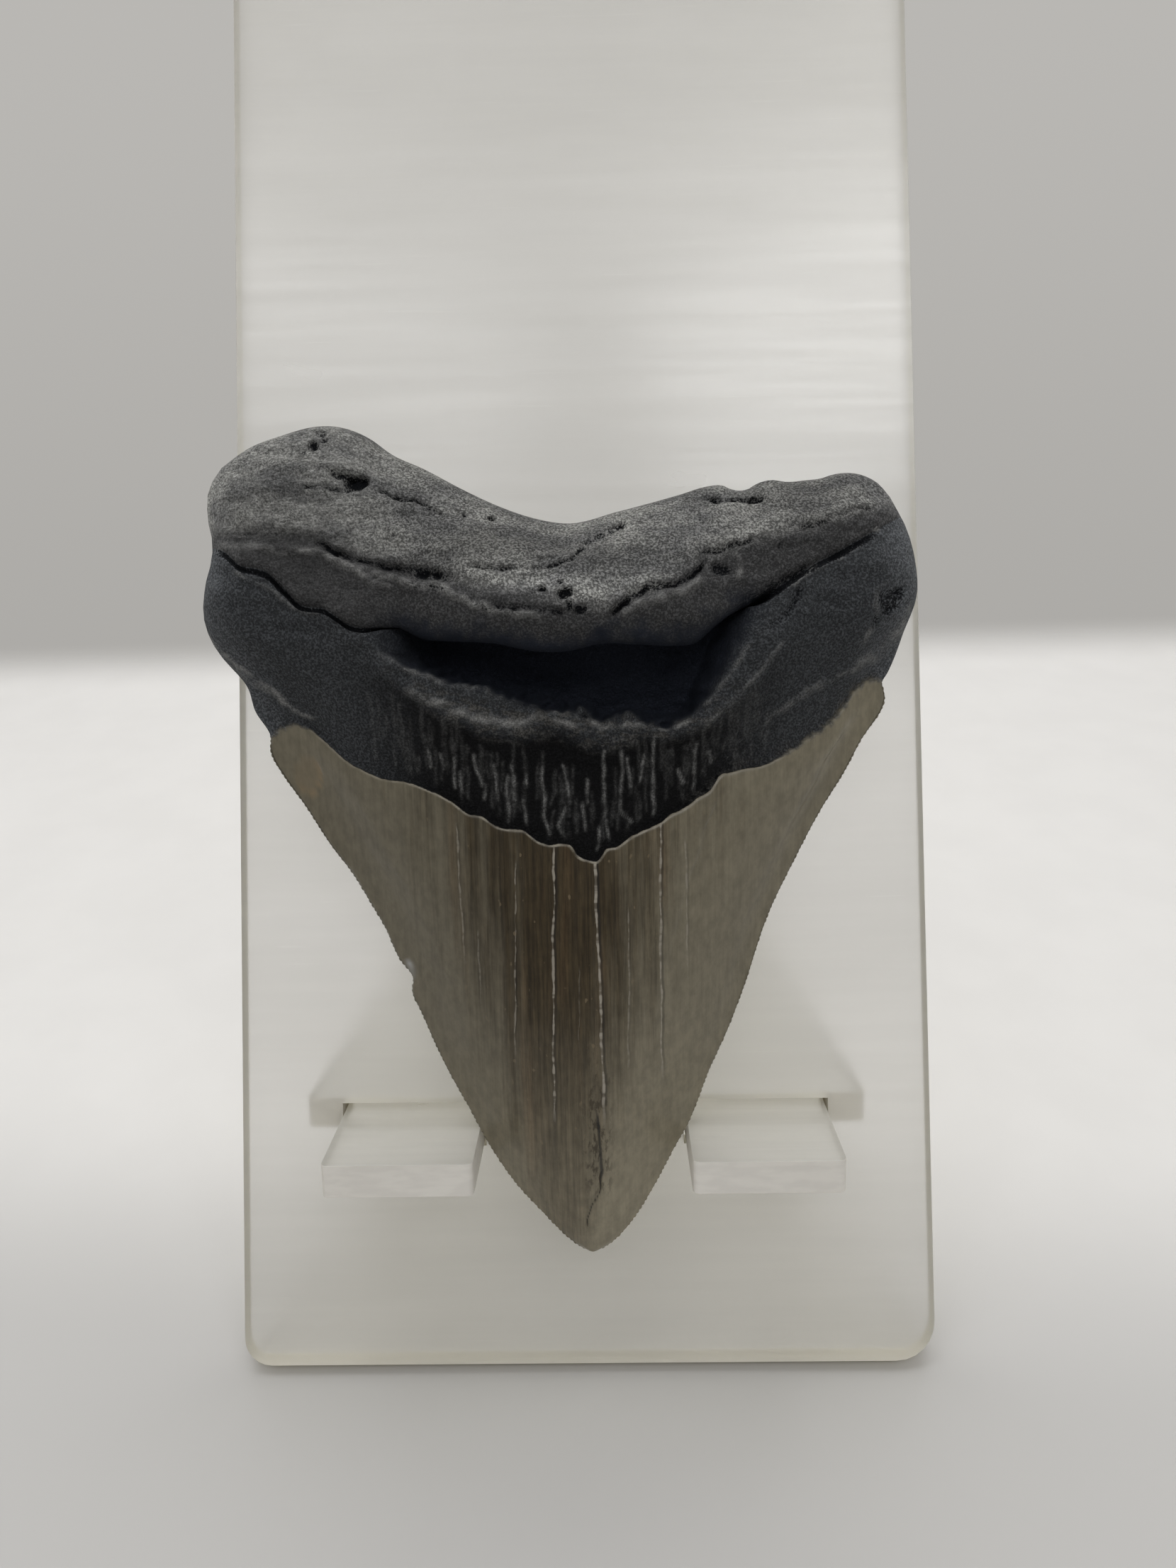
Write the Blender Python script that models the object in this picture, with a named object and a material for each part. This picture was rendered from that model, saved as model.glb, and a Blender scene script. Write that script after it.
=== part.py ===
"""A fossil megalodon tooth resting on its clear stand of two interlocking sheets.

Sizes are in millimetres and turned into metres where a mesh is made. Everything is modelled square to the
stand's panel and then leaned back with it by an empty: x runs to the right, -y comes forward from the panel's
front face, and z runs up the panel from its bottom front edge.
"""

import math

import bmesh
import bpy
import numpy as np
from mathutils import Matrix, Vector, noise

MM = 0.001

# ---- Stand --------------------------------------------------------------------------------------------------
SHEET = 4.7  # thickness of both clear sheets, 3/16 inch
PANEL_WIDTH = 101.6  # 4 inches
PANEL_HEIGHT = 215.9  # 8 1/2 inches
LOWER_LEFT_CORNER = 4.0  # radius of the panel's corners, which were rounded by hand
LOWER_RIGHT_CORNER = 5.7
UPPER_CORNER = 5.0
PANEL_LEAN = math.radians(28.0)  # the panel leans back this far from upright
PROP_DROOP = math.radians(12.3)  # the prongs droop this far from square to the panel
PRONG_TOP = 37.1  # height up the panel where the prongs' top face comes out
PRONG_LENGTH = 15.8  # how far the prongs stand out in front of the panel
PRONG_INNER = 14.9  # half the width of the notch between the prongs
PRONG_OUTER = 35.6  # half the width over both prongs
PRONG_CORNER = 1.0
SHOULDER = 42.3  # half the width of the prop just behind the panel
SHOULDER_BACK = 5.6  # the shoulders start this far behind the panel's front face
NOTCH_BACK = 7.0  # and the notch runs back a little further
TAIL_HALF_WIDTH = 34.0
TAIL_CORNER = 6.0
GAP = 0.3  # between pieces that touch
WELD = 0.001  # points of a sheet closer than this are one
FOOT_TRIM = 0.5  # depth of the flat worn on each edge that the stand rests on
TABLE_BLOCK = (400, 500, 20)  # the block under the table plane that cuts those flats
ARC_STEPS = 6  # facets in one rounded corner of a sheet

PROP_SLOPE = PANEL_LEAN - PROP_DROOP  # the prop's slope down to the table
LIFT = SHEET * math.sin(PANEL_LEAN) - FOOT_TRIM  # height of the panel's bottom front edge
SLOT_BOTTOM = PRONG_TOP - SHEET / math.cos(PROP_DROOP) - GAP
SLOT_TOP = PRONG_TOP + SHEET * math.tan(PROP_DROOP) + GAP
TAIL_LENGTH = (
    PRONG_TOP * math.cos(PANEL_LEAN) + LIFT + FOOT_TRIM - SHEET * math.cos(PROP_SLOPE)
) / math.sin(PROP_SLOPE)

# ---- Tooth --------------------------------------------------------------------------------------------------
TOOTH_X = 1.0  # the tip stands this far right of the panel's middle
TIP_HEIGHT = 18.7  # and this far up the panel
FRONT_COLUMNS = 44
BACK_EVERY = 2  # the back has one column for this many on the front
ROWS_PER_BAND = (18, 7, 9, 2, 15)
TIP_BUNCHING = 1.3  # rows lie closer together near the tip
TOP_BUNCHING = 1.6  # and near the top of the root

# The outline, seen from the front, in millimetres right of the tip and above it.
LEFT_SIDE = [
    (0, 0), (-3, 1.5), (-7, 5.5), (-11, 10), (-15.2, 16.5), (-17, 20), (-20.5, 26.5), (-23.8, 34),
    (-25.2, 37.5), (-25, 39), (-27, 42), (-29, 46.5), (-31, 50), (-33.7, 54.5), (-36, 57.5),
    (-40.5, 64.5), (-43, 68), (-45, 71.8), (-45, 74), (-47, 77.5), (-48, 81), (-51.5, 85.5),
    (-53.2, 90), (-52.8, 95), (-51.7, 99), (-51.7, 101), (-52.3, 104.5), (-51.6, 109), (-50, 111.3),
]  # fmt: skip
RIGHT_SIDE = [
    (0, 0), (2.8, 1.2), (5.5, 4), (8.8, 9), (12, 14.8), (13.6, 17.5), (17.2, 26), (19.8, 31.5),
    (22, 37), (26.3, 48.8), (29.2, 54.5), (33.3, 62), (37.3, 68.3), (39, 71.5), (42.8, 78.5),
    (42.4, 80), (43.2, 81.5), (45.3, 87), (46.9, 92.5), (46.7, 95.5), (45.1, 101.5), (43, 105.3),
]  # fmt: skip
# Lines across the front, from the left side to the right. The rows of the surface follow them.
ENAMEL_LINE = [
    (-45, 74), (-42.6, 76.6), (-39, 75.8), (-36.5, 74.2), (-32, 69.4), (-28, 67.3), (-21.5, 65.7),
    (-17, 63), (-11, 60.2), (-7, 59.4), (-4, 57.5), (1.4, 56.1), (5, 57.4), (9, 59.5), (13, 62),
    (18.4, 66.6), (23, 67.2), (27, 69), (32, 72.2), (37, 77.6), (40, 80), (42.4, 80),
]  # fmt: skip
LIP_LINE = [
    (-52.9, 88), (-45, 88), (-38, 87.3), (-33, 86.3), (-28.5, 83.9), (-24.5, 81), (-20.5, 78.8),
    (-16, 76.3), (-11, 74.2), (-7.4, 73.5), (-3, 74.4), (1, 73), (3, 72.2), (6, 72.7), (8.6, 74),
    (11, 73.5), (15.7, 73.9), (20, 75.8), (23, 79.6), (27, 84.5), (33, 87.5), (40, 89.5), (46.4, 90.5),
]  # fmt: skip
LEDGE_LINE = [
    (-51.7, 100), (-47, 97.3), (-42.5, 95.2), (-38.4, 91.5), (-33.7, 90), (-30, 87.9), (-25, 87.2),
    (-20, 85.2), (-15, 84.3), (-9, 83.8), (-5, 83.1), (3, 83.7), (8, 83.2), (12.5, 83.5),
    (16.5, 84.6), (20, 87.8), (24.6, 90.6), (31.6, 94.9), (38, 98.5), (40.6, 100), (44.8, 102.5),
]  # fmt: skip
ROOT_TOP = [
    (-50, 111.3), (-46.5, 113.8), (-41.5, 115.7), (-36.4, 116.9), (-33.5, 116.8), (-29, 115),
    (-26.4, 113), (-21.5, 110.6), (-16.5, 107.8), (-11.5, 105.3), (-6.5, 103.4), (-1.5, 102.5),
    (5, 104), (13.5, 106.2), (19.3, 107.6), (22.4, 106.7), (25, 107.4), (28.5, 107.9), (33, 108.2),
    (36.7, 108.8), (39.6, 108.3), (41.5, 107.1), (43, 105.3),
]  # fmt: skip

# Depths are millimetres in front of the panel. A row's station is 0 at the tip, 1 at the enamel line, 2 at
# the lip, 3 under the ledge, 4 at the ledge and 5 at the top of the root.
STATIONS = (0, 1, 2, 3, 4, 5)
RIM_DEPTH = (6.0, 7.5, 9.5, 10.5, 10.5, 11.0)  # the edge where the front meets the back
CROWN_STATIONS = (0, 0.15, 0.35, 0.6, 0.8, 1)
CROWN_FRONT = (0.9, 3.2, 6.2, 9.0, 10.4, 11.5)  # the inner face stands this far proud of the rim
CROWN_BACK = (0.8, 1.6, 2.4, 3.6, 4.4, 5.0)  # and the outer face this far behind it
CROWN_POWER = 1.15
ROOT_THICK = 9.5  # the root's front over its rim, away from the bulge
ROOT_ROUND = 10.0  # radius of the root's front edges
ROOT_BACK_ROUND = 7.0
ROOT_BACK_DEPTH = 0.6  # the flat back of the root rests against the panel
BULGE_CENTRE = (1, 89)
BULGE_RADII = (23, 13)
BULGE_HEIGHT = 6.5
ENAMEL_STEP = 0.5
HOLLOW_LEFT = (-31, -21)  # the hollow under the ledge opens between these
HOLLOW_RIGHT = (27, 18)
HOLLOW_DEPTH = 9.0
HOLLOW_FALL = (2.1, 2.5)  # stations over which the lip falls away into the hollow
CRACK_FALL = (2.8, 3)  # and, beyond it, over which the face falls away into the crack
HOLLOW_FADE = 5.0  # the hollow and its cracks run out this close to the outline
UNDERCUT = 1.6  # the hollow runs up behind the ledge
CRACK_WIDTH = 0.8  # beyond the hollow the ledge goes on as a crack
CRACK_ENDS = 0.04  # share of the width over which the crack closes at each end
CRACK_DEPTH_LEFT = 1.3
CRACK_DEPTH_RIGHT = 2.2
LUMPS = ((9.0, 0.5), (3.5, 0.25))  # (size, height) of the root's rough lumps
BACK_LUMPS = ((12.0, 0.5),)
RELIEF_FADE = 4.0  # relief runs out this close to the outline

# Relief on the root: (points, half width, depth). A negative depth is a ridge.
GROOVES = [
    ([(-45.3, 100.2), (-34, 98), (-29.6, 96), (-24.7, 94.7), (-20, 93.7), (-16, 93)], 0.9, 1.5),
    ([(-35, 96.7), (-29.6, 94.2), (-25, 92.2)], 1.2, -0.9),
    ([(-23.7, 93), (-20, 92.6), (-16, 90.8)], 1.0, -0.9),
    ([(-14.6, 89.8), (-10.4, 90), (-6, 89.4), (-1.3, 88)], 0.8, 1.1),
    ([(-14, 95.5), (-6, 95), (-1.4, 96.6), (3, 99), (6.7, 101)], 0.5, 0.5),
    ([(4, 88.2), (8, 90), (12.5, 91.6), (17, 93.5), (19.3, 93.8)], 0.8, 1.3),
    ([(4, 86.5), (9, 88.2), (14, 90.2), (17.5, 91.8)], 1.2, -0.8),
    ([(15.8, 95.8), (19, 96.3), (22, 97.3), (24.3, 97.4)], 0.5, 0.5),
    ([(-39, 108), (-34, 107.8), (-27.4, 107.5), (-23, 105), (-18.4, 103.4)], 0.7, 0.8),
    ([(-51.4, 86.4), (-48, 83.4), (-43.8, 80.7), (-40.7, 78.1), (-36, 75.8)], 1.0, -0.5),
    ([(26.7, 75.3), (31.7, 77.2), (35.7, 79.7), (42, 84.1), (44.7, 87.1), (45.5, 90.6)], 1.0, -0.5),
]
# (centre, half length, half height, depth)
PITS = [
    ((-30.7, 107.7), 3.4, 1.3, 2.6),
    ((-36.2, 115.2), 1.0, 0.8, 0.8),
    ((-34.6, 113.2), 0.9, 0.9, 0.7),
    ((-15, 102.4), 0.8, 0.6, 0.6),
    ((-11.3, 101.3), 0.9, 0.7, 0.8),
    ((-4.7, 92), 1.0, 0.8, 1.1),
    ((-1.7, 91), 1.0, 1.4, 1.2),
    ((0, 88.7), 1.2, 1.0, 1.0),
    ((19.7, 94.6), 1.3, 1.2, 1.4),
    ((24.2, 104.2), 1.1, 0.8, 1.1),
    ((42.2, 89.3), 1.6, 2.0, 1.2),
]

# ---- Colours ------------------------------------------------------------------------------------------------
CLEAR_SHEET = {"colour": (0.93, 0.94, 0.88), "roughness": 0.04, "metallic": 0.0}
TOOTH_BODY = {"colour": (0.075, 0.072, 0.066), "roughness": 0.5, "metallic": 0.0}


def material(name, finish):
    """A Principled material with one colour, roughness and metallic value."""
    made = bpy.data.materials.new(name)
    made.use_nodes = True
    shader = made.node_tree.nodes["Principled BSDF"]
    shader.inputs["Base Color"].default_value = (*finish["colour"], 1.0)
    shader.inputs["Roughness"].default_value = finish["roughness"]
    shader.inputs["Metallic"].default_value = finish["metallic"]
    return made


def collection(name):
    made = bpy.data.collections.new(name)
    bpy.context.scene.collection.children.link(made)
    return made


def empty(name, parent, location, tilt, into):
    """An empty that carries what is parented to it. The tilt is about x, in radians."""
    made = bpy.data.objects.new(name, None)
    made.parent = parent
    made.location = Vector(location) * MM
    made.rotation_euler = (tilt, 0, 0)
    into.objects.link(made)
    return made


# ---- Flat sheets --------------------------------------------------------------------------------------------
def rounded(corners):
    """The closed outline through (x, y, radius) corners, with an arc at each corner that has a radius."""
    outline = []
    for index, (x, y, radius) in enumerate(corners):
        here = Vector((x, y))
        if not radius:
            outline.append(here)
            continue
        before = (Vector(corners[index - 1][:2]) - here).normalized()
        after = (Vector(corners[(index + 1) % len(corners)][:2]) - here).normalized()
        half_angle = before.angle(after) / 2
        centre = here + (before + after).normalized() * radius / math.sin(half_angle)
        start = here + before * radius / math.tan(half_angle) - centre
        end = here + after * radius / math.tan(half_angle) - centre
        sweep = math.atan2(start.cross(end), start.dot(end))
        for step in range(ARC_STEPS + 1):
            outline.append(centre + Matrix.Rotation(sweep * step / ARC_STEPS, 2) @ start)
    return outline


def sheet(name, outlines, finish, into):
    """A clear sheet cut to its outlines, with its middle plane on its own z = 0. Inner outlines are holes."""
    curve = bpy.data.curves.new(name + "_outline", "CURVE")
    curve.dimensions = "2D"
    curve.fill_mode = "BOTH"
    curve.extrude = SHEET / 2 * MM
    for outline in outlines:
        spline = curve.splines.new("POLY")
        spline.points.add(len(outline) - 1)
        spline.use_cyclic_u = True
        for point, place in zip(spline.points, outline):
            point.co = (place.x * MM, place.y * MM, 0, 1)
    drawn = bpy.data.objects.new(name + "_outline", curve)
    into.objects.link(drawn)
    graph = bpy.context.evaluated_depsgraph_get()
    mesh = bpy.data.meshes.new_from_object(drawn.evaluated_get(graph))
    bpy.data.objects.remove(drawn)
    work = bmesh.new()
    work.from_mesh(mesh)
    bmesh.ops.remove_doubles(work, verts=work.verts, dist=WELD * MM)
    bmesh.ops.dissolve_limit(work, angle_limit=math.radians(1), verts=work.verts, edges=work.edges)
    bmesh.ops.recalc_face_normals(work, faces=work.faces)
    work.to_mesh(mesh)
    work.free()
    made = bpy.data.objects.new(name, mesh)
    mesh.materials.clear()
    mesh.materials.append(finish)
    into.objects.link(made)
    return made


def build_panel(carrier, finish, into):
    """The tall leaning panel, with a slot for each prong."""
    half = PANEL_WIDTH / 2
    corners = [
        (-half, 0, LOWER_LEFT_CORNER),
        (half, 0, LOWER_RIGHT_CORNER),
        (half, PANEL_HEIGHT, UPPER_CORNER),
        (-half, PANEL_HEIGHT, UPPER_CORNER),
    ]
    outlines = [rounded(corners)]
    for low, high in ((-PRONG_OUTER, -PRONG_INNER), (PRONG_INNER, PRONG_OUTER)):
        left, right = low - GAP, high + GAP
        slot = [(left, SLOT_BOTTOM, 0), (right, SLOT_BOTTOM, 0), (right, SLOT_TOP, 0), (left, SLOT_TOP, 0)]
        outlines.append(rounded(slot))
    panel = sheet("stand_panel", outlines, finish, into)
    panel.parent = carrier
    panel.location = (0, SHEET / 2 * MM, 0)
    panel.rotation_euler = (math.pi / 2, 0, 0)
    return panel


def build_prop(carrier, finish, into):
    """The prop: two prongs in front, shoulders behind the panel, and a tail that runs down to the table."""
    half = [
        (PRONG_INNER, NOTCH_BACK, PRONG_CORNER),
        (PRONG_INNER, -PRONG_LENGTH, PRONG_CORNER),
        (PRONG_OUTER, -PRONG_LENGTH, PRONG_CORNER),
        (PRONG_OUTER, SHOULDER_BACK, 0),
        (SHOULDER, SHOULDER_BACK, PRONG_CORNER),
        (TAIL_HALF_WIDTH, TAIL_LENGTH, TAIL_CORNER),
    ]
    mirrored = [(-x, y, radius) for x, y, radius in reversed(half)]
    prop = sheet("stand_prop", [rounded(half + mirrored)], finish, into)
    prop.parent = carrier
    prop.location = (0, 0, -SHEET / 2 * MM)
    return prop


def cut_flat_feet(sheets, into):
    """The table plane takes the sharp edge off each sheet where it rests."""
    bpy.ops.mesh.primitive_cube_add(size=1)
    table = bpy.context.object
    table.name = "table_cutter"
    for owner in list(table.users_collection):
        owner.objects.unlink(table)
    into.objects.link(table)
    table.scale = Vector(TABLE_BLOCK) * MM
    table.location = (0, 0, -TABLE_BLOCK[2] / 2 * MM)
    table.hide_render = True
    table.display_type = "WIRE"
    for cut in sheets:
        flat = cut.modifiers.new("flat foot", "BOOLEAN")
        flat.operation = "DIFFERENCE"
        flat.object = table


# ---- Tooth surface ------------------------------------------------------------------------------------------
def smooth_line(stations, values, at):
    """The value at each place on a smooth line through the given stations."""
    stations = np.asarray(stations, float)
    values = np.asarray(values, float)
    slopes = np.gradient(values, stations)
    low = np.clip(np.searchsorted(stations, at, side="right") - 1, 0, len(stations) - 2)
    span = stations[low + 1] - stations[low]
    t = (at - stations[low]) / span
    return (
        values[low] * (1 + 2 * t) * (1 - t) ** 2
        + slopes[low] * span * t * (1 - t) ** 2
        + values[low + 1] * t * t * (3 - 2 * t)
        + slopes[low + 1] * span * t * t * (t - 1)
    )


def ease(low, high, value):
    """0 up to low, 1 from high, and a soft ramp between them."""
    t = np.clip((value - low) / (high - low), 0, 1)
    return t * t * (3 - 2 * t)


def side_x(side, height):
    """Where a side of the outline is at a height. It follows the root of the height, so the tip is round."""
    x, h = np.array(side, float).T
    return smooth_line(np.sqrt(h), x, np.sqrt(height))


def line_height(line, x):
    across, up = np.array(line, float).T
    return smooth_line(across, up, x)


def hollow_share(x):
    """1 across the hollow under the ledge, 0 beyond its two ends."""
    return ease(*HOLLOW_LEFT, x) * ease(-HOLLOW_RIGHT[0], -HOLLOW_RIGHT[1], -x)


def key_line(index, share):
    """Height above the chord between its two ends, for one of the lines that the rows follow."""
    lines = (ENAMEL_LINE, LIP_LINE, LEDGE_LINE, LEDGE_LINE, ROOT_TOP)
    line = lines[index - 1]
    x = line[0][0] + (line[-1][0] - line[0][0]) * share
    bow = line_height(line, x) - line[0][1] - (line[-1][1] - line[0][1]) * share
    if index == 3:
        inside = hollow_share(x)
        opening = UNDERCUT * inside - CRACK_WIDTH * (1 - inside)
        bow += opening * ease(0, CRACK_ENDS, share) * ease(0, CRACK_ENDS, 1 - share)
    return bow


def side_heights():
    """How high each station's row meets the left and the right side."""
    left = [0] + [line[0][1] for line in (ENAMEL_LINE, LIP_LINE, LEDGE_LINE, LEDGE_LINE, ROOT_TOP)]
    right = [0] + [line[-1][1] for line in (ENAMEL_LINE, LIP_LINE, LEDGE_LINE, LEDGE_LINE, ROOT_TOP)]
    left[3] -= CRACK_WIDTH
    right[3] -= CRACK_WIDTH
    return left, right


def row_points(station, share):
    """x and height along one row of the surface."""
    band = min(int(station), 4)
    u = station - band
    left_heights, right_heights = side_heights()
    if band == 0:
        left = left_heights[1] * u**TIP_BUNCHING
        right = right_heights[1] * u**TIP_BUNCHING
        bow = key_line(1, share) * u * u
    else:
        left = left_heights[band] * (1 - u) + left_heights[band + 1] * u
        right = right_heights[band] * (1 - u) + right_heights[band + 1] * u
        bow = key_line(band, share) * (1 - u) + key_line(band + 1, share) * u
    low_x = side_x(LEFT_SIDE, left)
    high_x = side_x(RIGHT_SIDE, right)
    return low_x + (high_x - low_x) * share, left + (right - left) * share + bow


def outline_points(per_side=90):
    """The closed outline as a dense line, for measuring how far inside it a point is."""
    left_top = LEFT_SIDE[-1][1]
    right_top = RIGHT_SIDE[-1][1]
    rise = np.linspace(0, 1, per_side) ** 2
    left = np.stack([side_x(LEFT_SIDE, left_top * rise), left_top * rise], 1)
    right = np.stack([side_x(RIGHT_SIDE, right_top * rise), right_top * rise], 1)
    across = np.linspace(ROOT_TOP[0][0], ROOT_TOP[-1][0], per_side)
    top = np.stack([across, line_height(ROOT_TOP, across)], 1)
    return np.concatenate([left, top[1:], right[-2::-1]])


def distance_to_line(x, h, line):
    """Distance of each point from a line of straight pieces, and how far along it its nearest place is."""
    line = np.asarray(line, float)
    start, step = line[:-1], np.diff(line, axis=0)
    offset_x = x[:, None] - start[:, 0]
    offset_h = h[:, None] - start[:, 1]
    length = (step**2).sum(1)
    t = np.clip((offset_x * step[:, 0] + offset_h * step[:, 1]) / length, 0, 1)
    away = np.hypot(offset_x - t * step[:, 0], offset_h - t * step[:, 1])
    nearest = away.argmin(1)
    rows = np.arange(len(x))
    run = np.concatenate([[0], np.cumsum(np.sqrt(length))])
    along = (run[nearest] + t[rows, nearest] * np.sqrt(length)[nearest]) / run[-1]
    return away[rows, nearest], along


def round_over(distance, radius):
    """0 at the edge and 1 from a radius inside it, along a quarter circle."""
    return np.sqrt(1 - (1 - np.clip(distance / radius, 0, 1)) ** 2)


def lumps(x, h, layers, shift=0.0):
    """Rough lumps of several sizes."""
    total = np.zeros(len(x))
    for size, height in layers:
        places = zip(x / size, h / size)
        total += height * np.array([noise.noise(Vector((a, b, size + shift))) for a, b in places])
    return total


def root_relief(x, h):
    """Cracks, ridges and pits on the front of the root."""
    relief = np.zeros(len(x))
    for points, half_width, depth in GROOVES:
        away, along = distance_to_line(x, h, points)
        fade = ease(0, 0.12, along) * ease(0, 0.12, 1 - along)
        relief -= depth * fade * np.exp(-((away / half_width) ** 2))
    for (centre_x, centre_h), half_length, half_height, depth in PITS:
        reach = ((x - centre_x) / half_length) ** 2 + ((h - centre_h) / half_height) ** 2
        relief -= depth * np.exp(-reach)
    return relief


def ledge_drop(x):
    """How far the surface under the ledge lies behind it."""
    inside = hollow_share(x)
    crack = np.where(x < 0, CRACK_DEPTH_LEFT, CRACK_DEPTH_RIGHT)
    return HOLLOW_DEPTH * inside + crack * (1 - inside)


def front_depth(station, share, x, h, inside):
    """Depth of the front at the points of one row. inside is each point's distance from the outline."""
    rim = np.interp(station, STATIONS, RIM_DEPTH)
    bow = np.clip(1 - (2 * share - 1) ** 2, 0, 1) ** CROWN_POWER
    crown = np.interp(station, CROWN_STATIONS, CROWN_FRONT) * bow
    if station <= 1:
        return rim + crown
    reach = ((x - BULGE_CENTRE[0]) / BULGE_RADII[0]) ** 2 + ((h - BULGE_CENTRE[1]) / BULGE_RADII[1]) ** 2
    root = (ROOT_THICK + BULGE_HEIGHT * np.exp(-reach)) * round_over(inside, ROOT_ROUND)
    blend = ease(1, 2, station)
    depth = rim + crown * (1 - blend) + root * blend
    near_rim = ease(0, RELIEF_FADE, inside)
    depth += (lumps(x, h, LUMPS) * blend + root_relief(x, h)) * near_rim
    depth -= ENAMEL_STEP * ease(1, 1.08, station) * near_rim * (1 - ease(1.5, 2, station))
    hollow = hollow_share(x)
    if station <= 3:
        fall = ease(*HOLLOW_FALL, station) * hollow + ease(*CRACK_FALL, station) * (1 - hollow)
    else:
        fall = max(0, 4 - station)
    return depth - ledge_drop(x) * fall * ease(0, HOLLOW_FADE, inside)


def back_depth(station, share, x, h, inside):
    """Depth of the back, which faces the panel, at the points of one row."""
    rim = np.interp(station, STATIONS, RIM_DEPTH)
    crown = np.interp(station, CROWN_STATIONS, CROWN_BACK) * np.clip(1 - (2 * share - 1) ** 2, 0, 1)
    root = (rim - ROOT_BACK_DEPTH) * round_over(inside, ROOT_BACK_ROUND)
    blend = ease(0.9, 2, station)
    rough = np.abs(lumps(x, h, BACK_LUMPS, shift=50.0)) * ease(0, RELIEF_FADE, inside)
    return rim - crown * (1 - blend) - root * blend + rough * blend


def stations_of_rows():
    """Stations of the rows, closer together near the tip and near the top of the root."""
    rows = []
    for band, count in enumerate(ROWS_PER_BAND):
        steps = np.arange(1, count + 1) / count
        if band == 4:
            steps = 1 - (1 - steps) ** TOP_BUNCHING
        rows.extend(band + steps)
    return rows


def shares_of_columns(count):
    """Shares across a row, from 0 at the left to 1 at the right, closer together near the sides."""
    even = np.linspace(0, 1, count + 1)
    return 0.7 * even + 0.3 * (1 - np.cos(np.pi * even)) / 2


def tooth_surface():
    """Points and faces of the closed tooth: a front and a back that share the outline."""
    edge = outline_points()
    shares = shares_of_columns(FRONT_COLUMNS)
    stations = stations_of_rows()
    points = [(0.0, -RIM_DEPTH[0], 0.0)]
    front = [[0] * (FRONT_COLUMNS + 1)]
    back = [[0] * (FRONT_COLUMNS + 1)]
    for station in stations:
        x, h = row_points(station, shares)
        inside, _ = distance_to_line(x, h, edge)
        inside[[0, -1]] = 0
        if station == stations[-1]:
            inside[:] = 0
        depth = front_depth(station, shares, x, h, inside)
        depth[[0, -1]] = np.interp(station, STATIONS, RIM_DEPTH)
        first = len(points)
        points.extend(zip(x, -depth, h))
        front.append(list(range(first, len(points))))
        if station == stations[-1]:
            back.append(front[-1])
            continue
        columns = np.arange(BACK_EVERY, FRONT_COLUMNS, BACK_EVERY)
        depth = back_depth(station, shares[columns], x[columns], h[columns], inside[columns])
        row = {0: front[-1][0], FRONT_COLUMNS: front[-1][-1]}
        row.update(zip(columns, range(len(points), len(points) + len(columns))))
        points.extend(zip(x[columns], -depth, h[columns]))
        back.append(row)
    return points, front_faces(front) + back_faces(back)


def front_faces(rows):
    faces = []
    for low, high in zip(rows[:-1], rows[1:]):
        for j in range(FRONT_COLUMNS):
            corners = (low[j], low[j + 1], high[j + 1], high[j])
            faces.append(tuple(dict.fromkeys(corners)))
    return faces


def back_faces(rows):
    """The back's faces. Along the top it meets every column of the front, so its cells there are fans."""
    faces = []
    for index, (low, high) in enumerate(zip(rows[:-1], rows[1:])):
        for j in range(0, FRONT_COLUMNS, BACK_EVERY):
            k = j + BACK_EVERY
            if index < len(rows) - 2:
                corners = (low[k], low[j], high[j], high[k])
                faces.append(tuple(dict.fromkeys(corners)))
                continue
            faces.extend((low[j], high[m], high[m + 1]) for m in range(j, k))
            faces.append((low[j], high[k], low[k]))
    return faces


def build_tooth(carrier, finish, into):
    points, faces = tooth_surface()
    mesh = bpy.data.meshes.new("tooth")
    mesh.from_pydata([Vector(point) * MM for point in points], [], faces)
    mesh.materials.append(finish)
    mesh.shade_smooth()
    mesh.set_sharp_from_angle(angle=math.radians(50))
    tooth = bpy.data.objects.new("tooth", mesh)
    tooth.parent = carrier
    tooth.location = Vector((TOOTH_X, 0, TIP_HEIGHT)) * MM
    into.objects.link(tooth)
    return tooth


def main():
    for old in list(bpy.data.objects):
        bpy.data.objects.remove(old)
    parts = collection("megalodon tooth on stand")
    cutters = collection("cutters")
    clear = material("clear sheet", CLEAR_SHEET)
    fossil = material("fossil tooth", TOOTH_BODY)
    # The origin is on the table, under the middle of the whole object's box.
    widest_left = TOOTH_X + min(x for x, _ in LEFT_SIDE)
    depth = PRONG_TOP * math.sin(PANEL_LEAN) + TAIL_LENGTH * math.cos(PROP_SLOPE)
    stand = (-(widest_left + PANEL_WIDTH / 2) / 2, -depth / 2, LIFT)
    panel_frame = empty("panel_frame", None, stand, -PANEL_LEAN, parts)
    prop_frame = empty("prop_frame", panel_frame, (0, 0, PRONG_TOP), PROP_DROOP, parts)
    panel = build_panel(panel_frame, clear, parts)
    prop = build_prop(prop_frame, clear, parts)
    build_tooth(panel_frame, fossil, parts)
    bpy.context.view_layer.update()
    cut_flat_feet([panel, prop], cutters)


main()
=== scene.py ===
# %% [markdown]
# # A fossil shark tooth on its clear stand
#
# This lesson dresses a measured model: a big triangular tooth that stands point down on a clear
# stand made of two sheets. The measured model fixes where everything is and how big it is. Here
# each piece gets its fine shape, its colour and its shine.
#
# Two ideas run through the whole lesson. The tooth grew in one piece, so it's one mesh, made row
# by row from its own lines. The stand was cut from flat sheet, so each of its pieces is a flat
# plate whose edges are very slightly eased.

# %% Load the measured model
import math

import bmesh
import bpy
import numpy as np
from mathutils import Matrix, Vector, noise


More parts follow.
